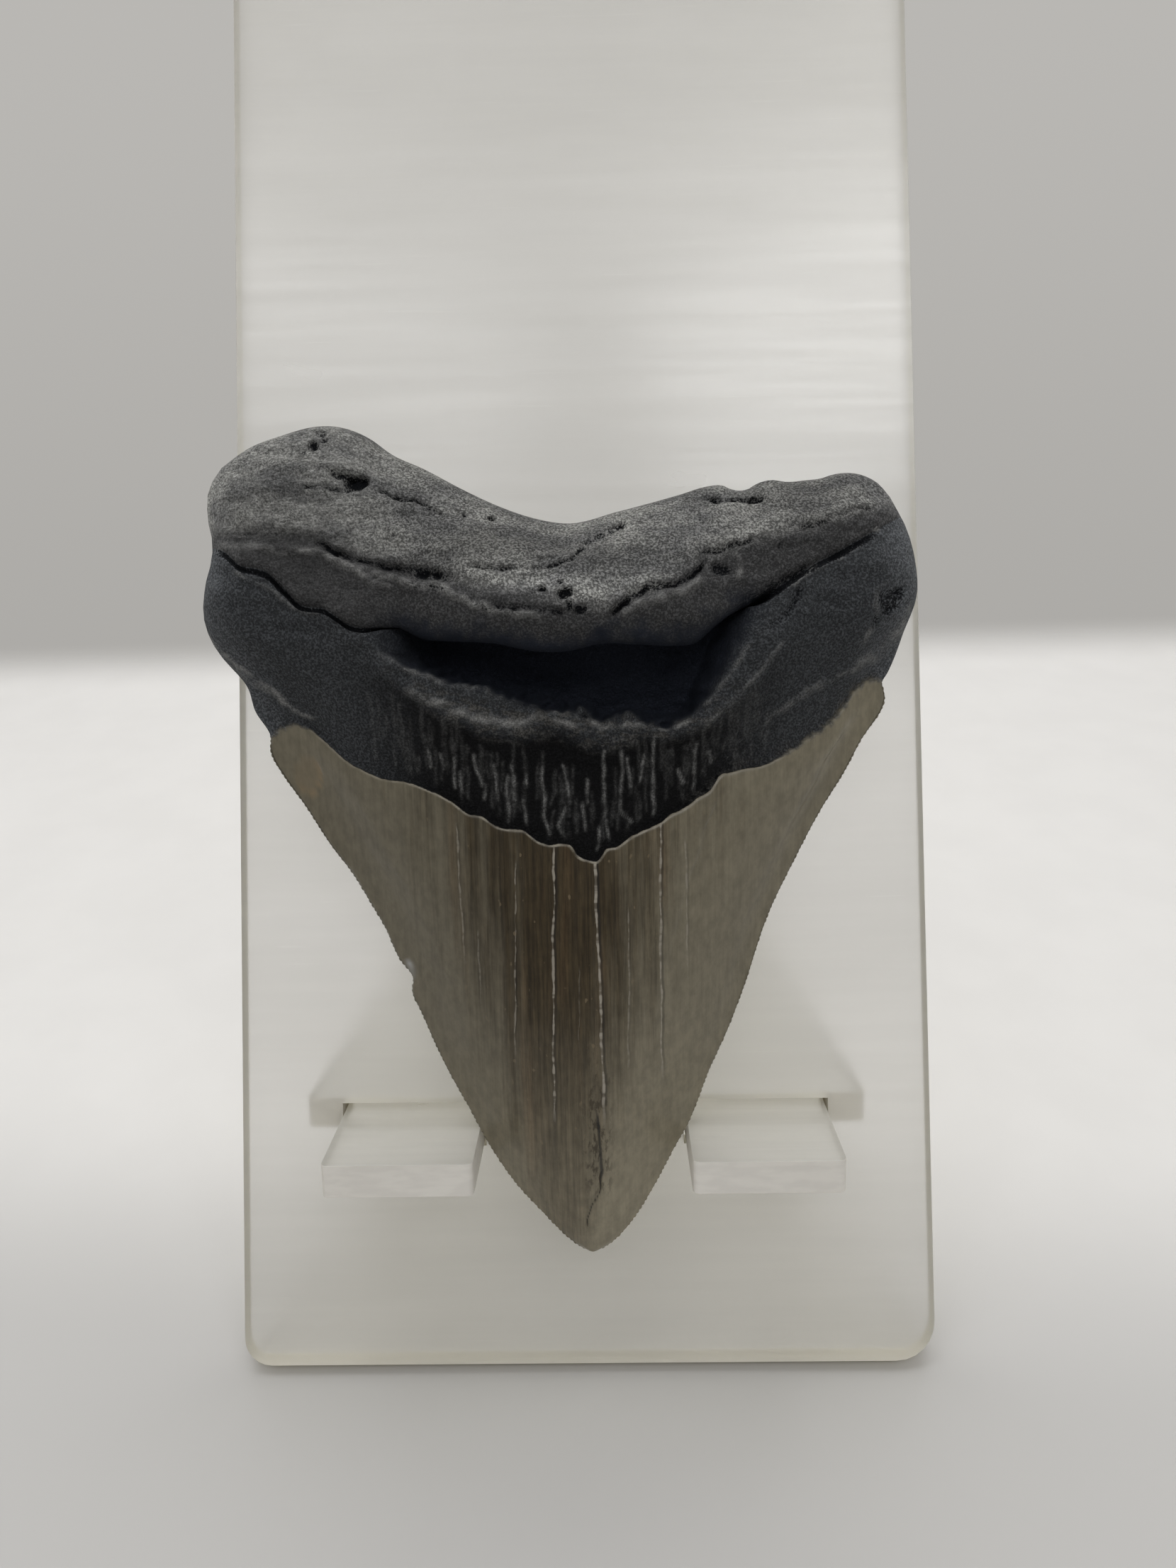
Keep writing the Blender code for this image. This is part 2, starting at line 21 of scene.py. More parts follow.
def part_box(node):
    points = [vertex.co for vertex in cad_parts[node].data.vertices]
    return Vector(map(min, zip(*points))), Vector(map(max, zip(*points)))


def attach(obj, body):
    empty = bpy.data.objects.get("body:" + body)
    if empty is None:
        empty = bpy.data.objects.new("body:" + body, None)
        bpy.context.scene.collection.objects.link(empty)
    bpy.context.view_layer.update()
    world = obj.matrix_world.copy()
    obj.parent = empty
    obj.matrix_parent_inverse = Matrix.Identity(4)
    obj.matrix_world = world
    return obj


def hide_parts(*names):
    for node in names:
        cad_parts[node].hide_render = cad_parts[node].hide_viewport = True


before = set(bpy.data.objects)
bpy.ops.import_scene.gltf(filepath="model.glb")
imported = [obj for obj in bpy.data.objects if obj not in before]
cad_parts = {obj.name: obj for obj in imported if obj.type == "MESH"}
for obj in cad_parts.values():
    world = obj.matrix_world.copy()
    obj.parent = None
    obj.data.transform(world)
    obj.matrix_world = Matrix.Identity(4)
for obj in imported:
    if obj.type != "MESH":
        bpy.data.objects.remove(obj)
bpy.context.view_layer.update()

MM = 0.001
print("measured nodes:", sorted(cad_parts))

# %% [markdown]
# ## Where the stand is
#
# The stand's panel leans back, and the tooth leans with it. It's much easier to shape the tooth
# while it stands square to the panel, so everything is first made in the panel's own directions:
# x to the right, depth forward from the panel's face, and height up the panel. One matrix then
# tips it back into place. That matrix is baked into each mesh, so every finished object sits at
# the origin, and a pattern that reads an object's coordinates stays put.

# %% The panel's tilt and place
PANEL_LEAN = math.radians(28.0)
PROP_DROOP = math.radians(12.3)
PANEL_FOOT = Vector((0.7, -62.854, 1.7065))  # middle of the panel's bottom front edge, in millimetres
TIP_PLACE = Vector((1.0, 0.0, 18.7))  # the tooth's tip, in the panel's directions

panel_to_world = Matrix.Translation(PANEL_FOOT * MM) @ Matrix.Rotation(-PANEL_LEAN, 4, "X")
tooth_to_world = panel_to_world @ Matrix.Translation(TIP_PLACE * MM)
print("the tip of the tooth is at", [round(v / MM, 1) for v in tooth_to_world.translation], "mm")

# %% [markdown]
# ## Camera
#
# The camera looks down at the tooth, almost square to the leaning panel, from less than 20 cm away.
# At that distance the near edge of the panel looks wider than the far one, which is why its sides
# spread towards the bottom of the view.

# %% Camera
camera_data = bpy.data.cameras.new("camera")
camera_data.sensor_fit = "HORIZONTAL"
camera_data.sensor_width = 36.0
camera_data.lens = 36.0434
camera_data.clip_start = 0.001
camera = bpy.data.objects.new("camera", camera_data)
camera.location = (0.0050087, -0.1796334, 0.1554395)
camera.rotation_euler = [math.radians(angle) for angle in (63.4177, 1.28056, 0.46922)]
bpy.context.scene.collection.objects.link(camera)
bpy.context.scene.camera = camera
print("camera is", round((camera.location - tooth_to_world.translation).length / MM), "mm from the tip")

# %% [markdown]
# ## Building node trees
#
# A material is a small graph. Two short helpers keep the code close to how the graph reads: `put`
# adds a node and fills in its inputs, and a filled-in value that is itself an output gets wired up.

# %% Node helpers
def put(tree, kind, inputs=None, **settings):
    """Add a node. Inputs are given by name or number: an output is linked, anything else is a value."""
    node = tree.nodes.new(kind)
    for key, value in settings.items():
        setattr(node, key, value)
    for key, value in (inputs or {}).items():
        if isinstance(value, bpy.types.NodeSocket):
            tree.links.new(value, node.inputs[key])
        else:
            node.inputs[key].default_value = value
    return node


def calc(tree, operation, *values):
    """A Math node's output."""
    return put(tree, "ShaderNodeMath", dict(enumerate(values)), operation=operation).outputs[0]


def ramp(tree, value, low, high, to_low=0.0, to_high=1.0):
    """value taken from low..high to to_low..to_high with soft ends, and held beyond them."""
    inputs = {"Value": value, "From Min": low, "From Max": high, "To Min": to_low, "To Max": to_high}
    return put(tree, "ShaderNodeMapRange", inputs, interpolation_type="SMOOTHSTEP").outputs[0]


def blend(tree, share, colour_a, colour_b, how="MIX"):
    """Mix two colours. Each is an output or three numbers."""
    node = tree.nodes.new("ShaderNodeMix")
    node.data_type = "RGBA"
    node.blend_type = how
    for socket, value in ((node.inputs[0], share), (node.inputs[6], colour_a), (node.inputs[7], colour_b)):
        if isinstance(value, bpy.types.NodeSocket):
            tree.links.new(value, socket)
        else:
            socket.default_value = value if isinstance(value, float) else (*value, 1.0)
    return node.outputs[2]


def between(tree, share, low, high):
    """A number that goes from low to high as share goes from 0 to 1."""
    return put(tree, "ShaderNodeMix", {0: share, 2: low, 3: high}, data_type="FLOAT").outputs[0]


def stretched_noise(tree, place, stretch, size, detail=2.0, roughness=0.5):
    """Noise over place, in millimetres. stretch multiplies each direction, and size is in millimetres."""
    mapping = put(tree, "ShaderNodeMapping", {"Vector": place, "Scale": stretch})
    inputs = {"Vector": mapping.outputs[0], "Scale": 1 / size, "Detail": detail, "Roughness": roughness}
    return put(tree, "ShaderNodeTexNoise", inputs).outputs["Fac"]


def sockets(tree, inputs, outputs):
    """Name a group's inputs and outputs. Returned are what it is given and what it puts out."""
    for name, kind, value in inputs:
        made = tree.interface.new_socket(name, in_out="INPUT", socket_type=kind)
        if value is not None:
            made.default_value = value
    for name, kind in outputs:
        tree.interface.new_socket(name, in_out="OUTPUT", socket_type=kind)
    return tree.nodes.new("NodeGroupInput").outputs, tree.nodes.new("NodeGroupOutput").inputs


def new_material(name):
    """A material and its graph, which is still empty."""
    material = bpy.data.materials.new(name)
    material.use_nodes = True
    material.node_tree.nodes.clear()
    return material, material.node_tree


print("node helpers are ready")

# %% [markdown]
# ## The tooth's own lines
#
# A shark tooth has a few lines that any drawing of it starts with: its two sides, the edge where
# the shiny crown ends, the rough lip above the dark band, the ledge that overhangs the hollow, and
# the top of the root. Each is a short list of points in millimetres, right of the tip and above
# it. The surface is then a set of rows that follow these lines, the way a knitter follows a
# pattern, so a ledge or an edge never cuts across the mesh and always comes out crisp.

# %% The sides and the lines across the front
LEFT_SIDE = [
    (0, 0), (-3, 1.5), (-7, 5.5), (-11, 10), (-15.2, 16.5), (-17, 20), (-20.5, 26.5), (-23.8, 34),
    (-25.2, 37.5), (-25, 39), (-27, 42), (-29, 46.5), (-31, 50), (-33.7, 54.5), (-36, 57.5),
    (-40.5, 64.5), (-43, 68), (-45, 71.8), (-45, 74), (-47, 77.5), (-48, 81), (-51.5, 85.5),
    (-53.2, 90), (-52.8, 95), (-51.7, 99), (-51.7, 101), (-52.3, 104.5), (-51.6, 109), (-50, 111.3),
]  # fmt: skip
RIGHT_SIDE = [
    (0, 0), (2.8, 1.2), (5.5, 4), (8.8, 9), (12, 14.8), (13.6, 17.5), (17.2, 26), (19.8, 31.5),
    (22, 37), (26.3, 48.8), (29.2, 54.5), (33.3, 62), (37.3, 68.3), (39, 71.5), (42.8, 78.5),
    (42.4, 80), (43.2, 81.5), (45.3, 87), (46.9, 92.5), (46.7, 95.5), (45.1, 101.5), (43, 105.3),
]  # fmt: skip
ENAMEL_LINE = [
    (-45, 74), (-41.8, 75.3), (-38.4, 74.6), (-36.8, 73.3), (-34.6, 71.4), (-32.9, 69.9),
    (-30.8, 68.8), (-27.6, 67.4), (-24.5, 66.9), (-21.5, 65.9), (-17.6, 63.9), (-15.6, 62.4),
    (-13.7, 62), (-11.8, 60.7), (-9.4, 60.2), (-7.9, 60), (-6.5, 58.8), (-4.7, 58.1), (-2.8, 58.2),
    (-1.8, 57.9), (-1.1, 56.8), (0.5, 56), (1.9, 56), (2.7, 57.2), (4.3, 57.7), (6.2, 59),
    (8.1, 59.9), (10, 60.7), (11.5, 61.8), (13.4, 62.7), (15.3, 64.1), (17.2, 65.3), (18.2, 66.9),
    (19.8, 67.4), (21.8, 67.9), (24.3, 68.3), (27.9, 70.1), (32.1, 72.7), (35.4, 75.3),
    (38.1, 78.8), (40.3, 80.3), (42.4, 80),
]  # fmt: skip
LIP_LINE = [
    (-52.9, 88), (-45, 88), (-38, 87.3), (-33, 86), (-28.5, 83.4), (-24.5, 80.6), (-20.8, 77.8),
    (-17, 76), (-13.3, 74.5), (-9.5, 74.1), (-7.1, 74.4), (-5.2, 74.9), (-2, 74.3), (0.8, 73),
    (2.6, 72.6), (5.4, 72.9), (8.3, 73.8), (11.1, 73.2), (14.8, 73.9), (17.6, 75.2), (20.4, 77.5),
    (23, 80), (27, 84.5), (33, 87.5), (40, 89.5), (46.4, 90.5),
]  # fmt: skip
LEDGE_LINE = [
    (-51.7, 100), (-47.8, 98.1), (-45.6, 96.2), (-43.2, 95.6), (-41.5, 94.9), (-40.4, 93.7),
    (-39, 92.3), (-37.9, 91), (-36.2, 90.3), (-34.2, 90), (-32.3, 88.8), (-30.9, 87.8), (-29, 87.3),
    (-26.2, 87.3), (-24.1, 87.2), (-22.7, 86.5), (-21, 85.7), (-17.7, 85.2), (-11.5, 84.6),
    (-5.3, 83.3), (-1.7, 83.3), (2.8, 84.1), (7.6, 84), (12.3, 83.9), (15.4, 84.4), (17.5, 86.2),
    (20.4, 88.3), (22.9, 89.7), (25.2, 91), (28, 92.8), (30.9, 94.5), (34.8, 96.6), (38.8, 98.8),
    (42, 100.7), (44.8, 102.5),
]  # fmt: skip
ROOT_TOP = [
    (-50, 111.3), (-46.5, 113.8), (-41.5, 115.7), (-36.4, 116.9), (-33.5, 116.8), (-29, 115),
    (-26.4, 113), (-21.5, 110.6), (-16.5, 107.8), (-11.5, 105.3), (-6.5, 103.4), (-1.5, 102.5),
    (5, 104), (13.5, 106.2), (17.8, 107.4), (19.7, 107.5), (21.2, 106.8), (23, 106.8), (24.6, 107.7),
    (26.4, 108.1), (28.6, 107.8), (31.4, 108), (33.4, 108.2), (34.6, 108.6), (36.7, 108.9),
    (39.6, 108.3), (41.5, 107.1), (43, 105.3),
]  # fmt: skip
# The sides without their nicks, which the crown's dome follows.
SMOOTH_LEFT = [
    (0, 0), (-3, 1.5), (-7, 5.5), (-15.2, 16.5), (-23.5, 32.5), (-30.5, 48), (-37.3, 59), (-45, 72),
    (-50, 83),
]  # fmt: skip
SMOOTH_RIGHT = [
    (0, 0), (2.8, 1.2), (5.5, 4), (12, 14.8), (19.8, 31.5), (26.3, 48.3), (33.3, 61.5), (42, 77),
    (45, 85),
]  # fmt: skip
# What the rows follow at stations 1 to 5. The ledge counts twice: from under it and on it.
LINES = (ENAMEL_LINE, LIP_LINE, LEDGE_LINE, LEDGE_LINE, ROOT_TOP)
print("the tooth is", round(max(h for _, h in ROOT_TOP), 1), "mm high and",
      round(max(x for x, _ in RIGHT_SIDE) - min(x for x, _ in LEFT_SIDE), 1), "mm wide")  # fmt: skip

# %% Curves through a few points
def smooth_line(stations, values, at):
    """The value at each place on a smooth line through the given stations."""
    stations = np.asarray(stations, float)
    values = np.asarray(values, float)
    slopes = np.gradient(values, stations)
    low = np.clip(np.searchsorted(stations, at, side="right") - 1, 0, len(stations) - 2)
    span = stations[low + 1] - stations[low]
    t = (at - stations[low]) / span
    return (
        values[low] * (1 + 2 * t) * (1 - t) ** 2
        + slopes[low] * span * t * (1 - t) ** 2
        + values[low + 1] * t * t * (3 - 2 * t)
        + slopes[low + 1] * span * t * t * (t - 1)
    )


def ease(low, high, value):
    """0 up to low, 1 from high, and a soft ramp between them."""
    t = np.clip((value - low) / (high - low), 0, 1)
    return t * t * (3 - 2 * t)


def side_x(side, height):
    """Where a side is at a height. It follows the root of the height, so the tip comes out round."""
    x, h = np.array(side, float).T
    return smooth_line(np.sqrt(h), x, np.sqrt(height))


def line_height(line, x):
    across, up = np.array(line, float).T
    return smooth_line(across, up, x)


def distance_to_line(x, h, line):
    """Distance of each point from a line of straight pieces, and how far along it the nearest place is."""
    line = np.asarray(line, float)
    start, step = line[:-1], np.diff(line, axis=0)
    offset_x = x[:, None] - start[:, 0]
    offset_h = h[:, None] - start[:, 1]
    length = np.maximum((step**2).sum(1), 1e-9)
    t = np.clip((offset_x * step[:, 0] + offset_h * step[:, 1]) / length, 0, 1)
    away = np.hypot(offset_x - t * step[:, 0], offset_h - t * step[:, 1])
    nearest = away.argmin(1)
    rows = np.arange(len(x))
    run = np.concatenate([[0], np.cumsum(np.sqrt(length))])
    along = (run[nearest] + t[rows, nearest] * np.sqrt(length)[nearest]) / run[-1]
    return away[rows, nearest], along


print("the left side is at", round(float(side_x(LEFT_SIDE, np.array(60.0))), 2), "mm at a height of 60 mm")

# %% [markdown]
# ## Rows that follow the lines
#
# Each row of the mesh has a station: 0 at the tip, 1 at the enamel's edge, 2 at the lip, 3 just
# under the ledge, 4 on the ledge and 5 along the top of the root. Between two lines a row takes
# some of its shape from each. Under the ledge the rows go up behind it in the hollow, and beyond
# the hollow's two ends they close up to a crack.

# %% Rows and columns of the front
FRONT_COLUMNS = 320
BACK_EVERY = 8
ROWS_PER_BAND = (104, 46, 34, 8, 72)
TIP_BUNCHING = 1.3
TOP_BUNCHING = 1.6
MIDDLE_BUNCHING = 0.25
HOLLOW_LEFT = (-30, -20.5)
HOLLOW_RIGHT = (27, 18)
UNDERCUT = 1.6
CRACK_PLACES = (-52, -49, -45, -40, -36, -28, -21, 18, 23, 26, 30, 34, 37, 40, 45)
CRACK_WIDTHS = (0.2, 0.3, 0.5, 0.75, 0.55, 0.6, 0.4, 1.3, 1.2, 0.6, 0.3, 0.55, 0.45, 0.25, 0.15)
CRACK_DEPTHS = (0.2, 0.7, 1.0, 1.5, 1.1, 1.2, 1.0, 2.6, 2.2, 1.2, 0.6, 1.1, 0.9, 0.4, 0.15)
CRACK_ENDS = 0.03


def hollow_share(x):
    """1 across the hollow under the ledge, 0 beyond its two ends."""
    return ease(*HOLLOW_LEFT, x) * ease(-HOLLOW_RIGHT[0], -HOLLOW_RIGHT[1], -x)


def key_line(index, share):
    """Height above the chord between its two ends, for one of the lines that the rows follow."""
    line = LINES[index - 1]
    x = line[0][0] + (line[-1][0] - line[0][0]) * share
    bow = line_height(line, x) - line[0][1] - (line[-1][1] - line[0][1]) * share
    if index == 3:
        inside = hollow_share(x)
        opening = UNDERCUT * inside - np.interp(x, CRACK_PLACES, CRACK_WIDTHS) * (1 - inside)
        bow += opening * ease(0, CRACK_ENDS, share) * ease(0, CRACK_ENDS, 1 - share)
    return bow


def row_points(station, share):
    """x and height along one row."""
    band = min(int(station), 4)
    u = station - band
    left_ends = [0] + [line[0][1] for line in LINES]
    right_ends = [0] + [line[-1][1] for line in LINES]
    left_ends[3] -= CRACK_WIDTHS[0]
    right_ends[3] -= CRACK_WIDTHS[-1]
    if band == 0:
        left = left_ends[1] * u**TIP_BUNCHING
        right = right_ends[1] * u**TIP_BUNCHING
        bow = key_line(1, share) * u * u
    else:
        left = left_ends[band] * (1 - u) + left_ends[band + 1] * u
        right = right_ends[band] * (1 - u) + right_ends[band + 1] * u
        bow = key_line(band, share) * (1 - u) + key_line(band + 1, share) * u
    low_x = side_x(LEFT_SIDE, left)
    high_x = side_x(RIGHT_SIDE, right)
    x = low_x + (high_x - low_x) * share
    smooth_low, smooth_high = side_x(SMOOTH_LEFT, left), side_x(SMOOTH_RIGHT, right)
    across = np.clip((x - smooth_low) / (smooth_high - smooth_low), 0, 1)
    return x, left + (right - left) * share + bow, across


def stations_of_rows():
    rows = []
    for band, count in enumerate(ROWS_PER_BAND):
        steps = np.arange(1, count + 1) / count
        if band == 4:
            steps = 1 - (1 - steps) ** TOP_BUNCHING
        rows.extend(band + steps)
    return np.array(rows)


def shares_of_columns(count):
    """Shares across a row, from 0 at the left to 1 at the right, closer together in the middle."""
    even = np.linspace(0, 1, count + 1)
    return even + MIDDLE_BUNCHING * np.sin(2 * np.pi * even) / (2 * np.pi)


stations = stations_of_rows()
shares = shares_of_columns(FRONT_COLUMNS)
front_rows = np.array([row_points(station, shares) for station in stations])
front_x, front_h, front_across = front_rows.transpose(1, 0, 2)
print(len(stations), "rows of", FRONT_COLUMNS + 1, "points")

# %% [markdown]
# ## How far inside the outline
#
# The front and the back meet along the outline, where the tooth is thinnest. Much of the shape
# depends on how far inside the outline a point is, so that distance is worked out once, against a
# dense copy of the outline.

# %% Distance inside the outline
def outline_points(per_side=110):
    """The closed outline as a dense line."""
    left_top = LEFT_SIDE[-1][1]
    right_top = RIGHT_SIDE[-1][1]
    rise = np.linspace(0, 1, per_side) ** 2
    left = np.stack([side_x(LEFT_SIDE, left_top * rise), left_top * rise], 1)
    right = np.stack([side_x(RIGHT_SIDE, right_top * rise), right_top * rise], 1)
    across = np.linspace(ROOT_TOP[0][0], ROOT_TOP[-1][0], per_side)
    top = np.stack([across, line_height(ROOT_TOP, across)], 1)
    return np.concatenate([left, top[1:], right[-2::-1]])


outline = outline_points()
front_inside = np.array([distance_to_line(x, h, outline)[0] for x, h in zip(front_x, front_h)])
front_inside[:, [0, -1]] = 0
front_inside[-1] = 0
print("the deepest point lies", round(front_inside.max(), 1), "mm inside the outline")

# %% [markdown]
# ## Lumps, cracks, ridges and pits
#
# The root was living bone once, and it's full of small holes where vessels went in, cracks along
# its grain and worn ridges. Each is one entry in a list: a line of points with a half width at
# each point and a depth or a rise, or a pit with its two radii and a depth.
# A ragged shift bends them all a little, because nothing in bone is drawn with a ruler. Rough
# lumps of several sizes go under them, because a real surface is rough at every scale.

# %% Marks on the root
GROOVES = [  # ((x, height, half width), ...), depth
    ([(-45.3, 100.3, 0.15), (-41, 99.9, 0.2), (-36.5, 99.2, 0.2)], 0.4),
    ([(-36.2, 99.2, 0.15), (-33.9, 98, 0.3), (-30, 96.2, 0.3), (-26.1, 95.2, 0.4), (-22.7, 94.3, 0.5),
      (-20.2, 93.8, 0.8), (-17.5, 93.2, 0.8), (-15.8, 92.9, 0.35)], 1.5),
    ([(-23, 93, 0.3), (-20, 92, 0.4), (-17.5, 91.2, 0.3)], 0.7),
    ([(-14.9, 90.1, 0.2), (-10.7, 88.5, 0.35), (-6.2, 88.5, 0.4), (-1.6, 87.4, 0.35)], 0.9),
    ([(-15, 94.4, 0.15), (-11, 94.2, 0.2), (-7, 93.9, 0.22), (-3.3, 94, 0.25), (-1.5, 95.2, 0.35),
      (2.1, 98, 0.55), (5, 100.1, 0.5), (6.6, 101.4, 0.25)], 0.9),
    ([(3.6, 87.2, 0.3), (6.6, 89.5, 0.5), (9.3, 90.8, 0.55), (13, 91.8, 0.4), (15.4, 93.4, 0.35),
      (17, 95, 0.2)], 1.4),
    ([(15.4, 95.6, 0.25), (19.7, 96.8, 0.38), (23, 97.5, 0.2)], 0.8),
    ([(16.6, 104.2, 0.2), (18.8, 104.3, 0.4), (20.8, 104.2, 0.3), (22.8, 104.1, 0.5),
      (24.4, 104.8, 0.6)], 1.3),
    ([(-37.9, 106.7, 0.15), (-35.2, 106.4, 0.25), (-32.2, 105.9, 0.3), (-30, 106.3, 0.35)], 0.8),
    ([(-33.8, 108.3, 0.3), (-32, 108, 0.6), (-30.3, 107.7, 0.6)], 0.9),
    ([(-36.5, 109, 0.25), (-34, 108.9, 0.3), (-32, 108.2, 0.3)], 0.4),
    ([(-27.4, 105.9, 0.28), (-24.2, 104.6, 0.2), (-20.5, 103.7, 0.2), (-18.2, 102.6, 0.12)], 0.8),
    ([(-12, 97.2, 0.3), (-9, 96.8, 0.3), (-6.5, 97, 0.3)], 0.25),
    ([(19.5, 88, 0.5), (22.9, 89.8, 1.0), (25.4, 91.4, 0.6), (30.5, 94.4, 0.4)], 1.0),
    ([(24.5, 85.5, 0.5), (27.5, 88.5, 0.6), (29, 91.5, 0.4)], 0.5),
    ([(29, 99, 0.4), (34, 101, 0.5), (39.5, 102.6, 0.3)], 0.4),
]  # fmt: skip
PITS = [  # centre, half length, half height, depth
    ((-29.9, 107.1), 1.9, 1.0, 2.2),
    ((-35.3, 114.5), 0.9, 0.5, 1.0), ((-35.9, 112.7), 0.6, 0.9, 0.9), ((-34.7, 113.6), 0.4, 0.5, 0.6),
    ((-37.3, 111.4), 0.5, 0.4, 0.4), ((-11.8, 101.7), 0.5, 0.45, 1.1), ((-15.5, 102.3), 0.35, 0.35, 0.6),
    ((-24.5, 99.5), 0.35, 0.3, 0.4), ((-4.7, 90.8), 0.5, 0.45, 0.9), ((-1.9, 90.3), 0.9, 0.75, 1.2),
    ((-1.3, 88.6), 0.5, 0.6, 0.8), ((0.1, 88), 0.8, 0.45, 0.9), ((-2.6, 91.8), 0.4, 0.35, 0.6),
    ((18.4, 93.7), 1.2, 0.9, 0.8), ((23.9, 104.1), 1.2, 0.6, 1.3), ((41.7, 90.2), 1.9, 1.5, 0.6),
    ((41, 88.9), 1.0, 0.9, 0.5), ((42.9, 91.3), 0.9, 0.8, 0.6), ((39.4, 87.4), 0.6, 0.8, 0.4),
    ((26.5, 97), 0.4, 0.4, 0.5), ((9.5, 101.5), 0.4, 0.3, 0.4),
]  # fmt: skip
# Pale ridges: partly pale worn bone, partly painted highlights along ridge tops, torn edges and the rim.
PALE_LIT_RIDGES = [  # ((x, height, half width), ...), rise, paleness
    ([(-53.3, 89, 0.25), (-51.5, 86.6, 0.3), (-48.7, 84, 0.3), (-43.8, 80.1, 0.3), (-41, 77.6, 0.3),
      (-36.8, 75.9, 0.25)], 0.4, 0.75),
    ([(-50.5, 84.4, 0.2), (-47.4, 82, 0.25), (-44.6, 80, 0.25), (-42, 78, 0.2)], 0.2, 0.45),
    ([(45, 90.4, 0.4), (44.2, 86.9, 0.6), (41.6, 83.9, 0.7), (38.5, 82.2, 0.6), (36.4, 81, 0.4)], 0.4, 0.5),
    ([(37, 81.3, 0.3), (31.5, 78.7, 0.35), (26.6, 75.4, 0.3)], 0.3, 0.3),
    ([(24, 73.5, 0.3), (28, 77, 0.3), (33, 80, 0.3)], 0.2, 0.3),
    ([(-29, 85.2, 0.3), (-24.7, 82.6, 0.4), (-21, 80.8, 0.4), (-17.5, 79.8, 0.5), (-13.8, 78.8, 0.5),
      (-9.9, 78, 0.4), (-5.9, 76.6, 0.35), (-2.9, 75.7, 0.3), (1, 74.8, 0.3)], 0.3, 0.45),
    ([(-24, 78.9, 0.4), (-20.8, 77.8, 0.5), (-17, 76, 0.6), (-13.3, 74.7, 0.6), (-9.5, 74.2, 0.5),
      (-7.1, 74.5, 0.4), (-5.2, 74.9, 0.35), (-2, 74.3, 0.35), (0.8, 73.1, 0.4)], 0.5, 0.75),
    ([(0.6, 74.9, 0.3), (2.6, 73.3, 0.35), (5.4, 73.8, 0.35), (8.3, 73.9, 0.3), (11.1, 73.3, 0.35),
      (14.8, 74, 0.3)], 0.45, 0.85),
    ([(15, 75, 0.3), (18.1, 78.4, 0.35), (20.1, 81.3, 0.35), (22.5, 84.6, 0.3)], 0.3, 0.35),
    ([(15, 72.6, 0.3), (19.5, 76, 0.35), (23.5, 80.5, 0.35), (27, 85, 0.3)], 0.3, 0.3),
    ([(20.4, 92.2, 0.25), (21, 93.4, 0.35), (20.8, 94.8, 0.35), (20, 95.6, 0.25)], 0.5, 0.7),
    ([(40.8, 92.6, 0.3), (39.3, 91.2, 0.35), (39.1, 89.4, 0.35), (39.9, 88, 0.3)], 0.3, 0.45),
    ([(38.2, 85.9, 0.7), (39.1, 85.4, 0.8)], 0.1, 0.45),
    ([(-40, 98.6, 0.3), (-36, 97.6, 0.4), (-31.8, 96, 0.45), (-28.9, 94.6, 0.45), (-26.2, 92.6, 0.45),
      (-24, 91.6, 0.3)], 0.8, 0.7),
    ([(-29, 95.2, 0.3), (-25.5, 94, 0.4), (-21.5, 92.2, 0.4), (-19.1, 92.3, 0.45), (-16.7, 90.9, 0.45),
      (-14, 89.5, 0.4), (-9, 88, 0.4), (-4, 87.2, 0.3)], 0.9, 0.8),
    ([(5, 87.4, 0.4), (10.2, 89.7, 0.5), (13.6, 90.6, 0.5), (16.5, 92.1, 0.4)], 0.8, 0.6),
    ([(-50.5, 99, 0.5), (-43, 98.4, 0.6), (-37, 97.4, 0.5)], 0.4, 0.3),
    ([(26, 90.8, 0.25), (30, 93.2, 0.3), (33, 94.9, 0.3), (36, 96.5, 0.3), (38, 97.4, 0.25)], 0.4, 0.6),
    ([(30, 93.6, 0.2), (31.2, 94.2, 0.3)], 0.2, 1.0),
    ([(-47, 95.6, 0.25), (-42, 93.2, 0.3), (-38.5, 90.2, 0.3), (-34, 88.9, 0.25)], 0.3, 0.35),
    ([(-6, 96.3, 0.3), (-2, 95.9, 0.35), (1, 97, 0.3)], 0.4, 0.5),
    ([(-42, 104.5, 0.3), (-36, 103.4, 0.35), (-31, 103, 0.3)], 0.35, 0.35),
    ([(-44, 101.6, 0.3), (-38, 101.2, 0.35), (-33, 100.2, 0.3)], 0.35, 0.35),
    ([(-20, 104.5, 0.2), (-18.6, 105.2, 0.3), (-17.2, 106.2, 0.2)], 0.1, 0.9),
    ([(-18.8, 105.6, 0.2), (-17.6, 105, 0.2)], 0.1, 0.7),
    ([(39.3, 99.4, 0.35), (39.8, 98.8, 0.35)], 0.2, 1.3),
    ([(-34, 55.3, 0.5), (-33.2, 53.9, 0.5)], 0.0, 0.8),
    ([(-25.5, 41.4, 0.5), (-24.8, 39.4, 0.6)], 0.0, 0.7),
]  # fmt: skip
BRIGHTNESS_PATCHES = [  # centre, half length, half height, how bright it is there
    ((-37.5, 102.3), 12, 4.5, 0.78), ((-48.8, 107.4), 8, 4, 0.85), ((-50, 113), 7, 5, 0.64),
    ((-12.5, 97.4), 8, 2.6, 0.6), ((10, 101.7), 12, 5.5, 1.15), ((4.5, 94.4), 9, 2.8, 0.68),
    ((0, 91.6), 20, 2.6, 1.75), ((44, 99.5), 7, 6, 1.25), ((38.5, 108.3), 9, 5, 0.55),
    ((30, 104), 6, 4, 0.85), ((-48, 97), 7, 5, 1.3), ((42, 96), 7, 4, 1.25),
]  # fmt: skip
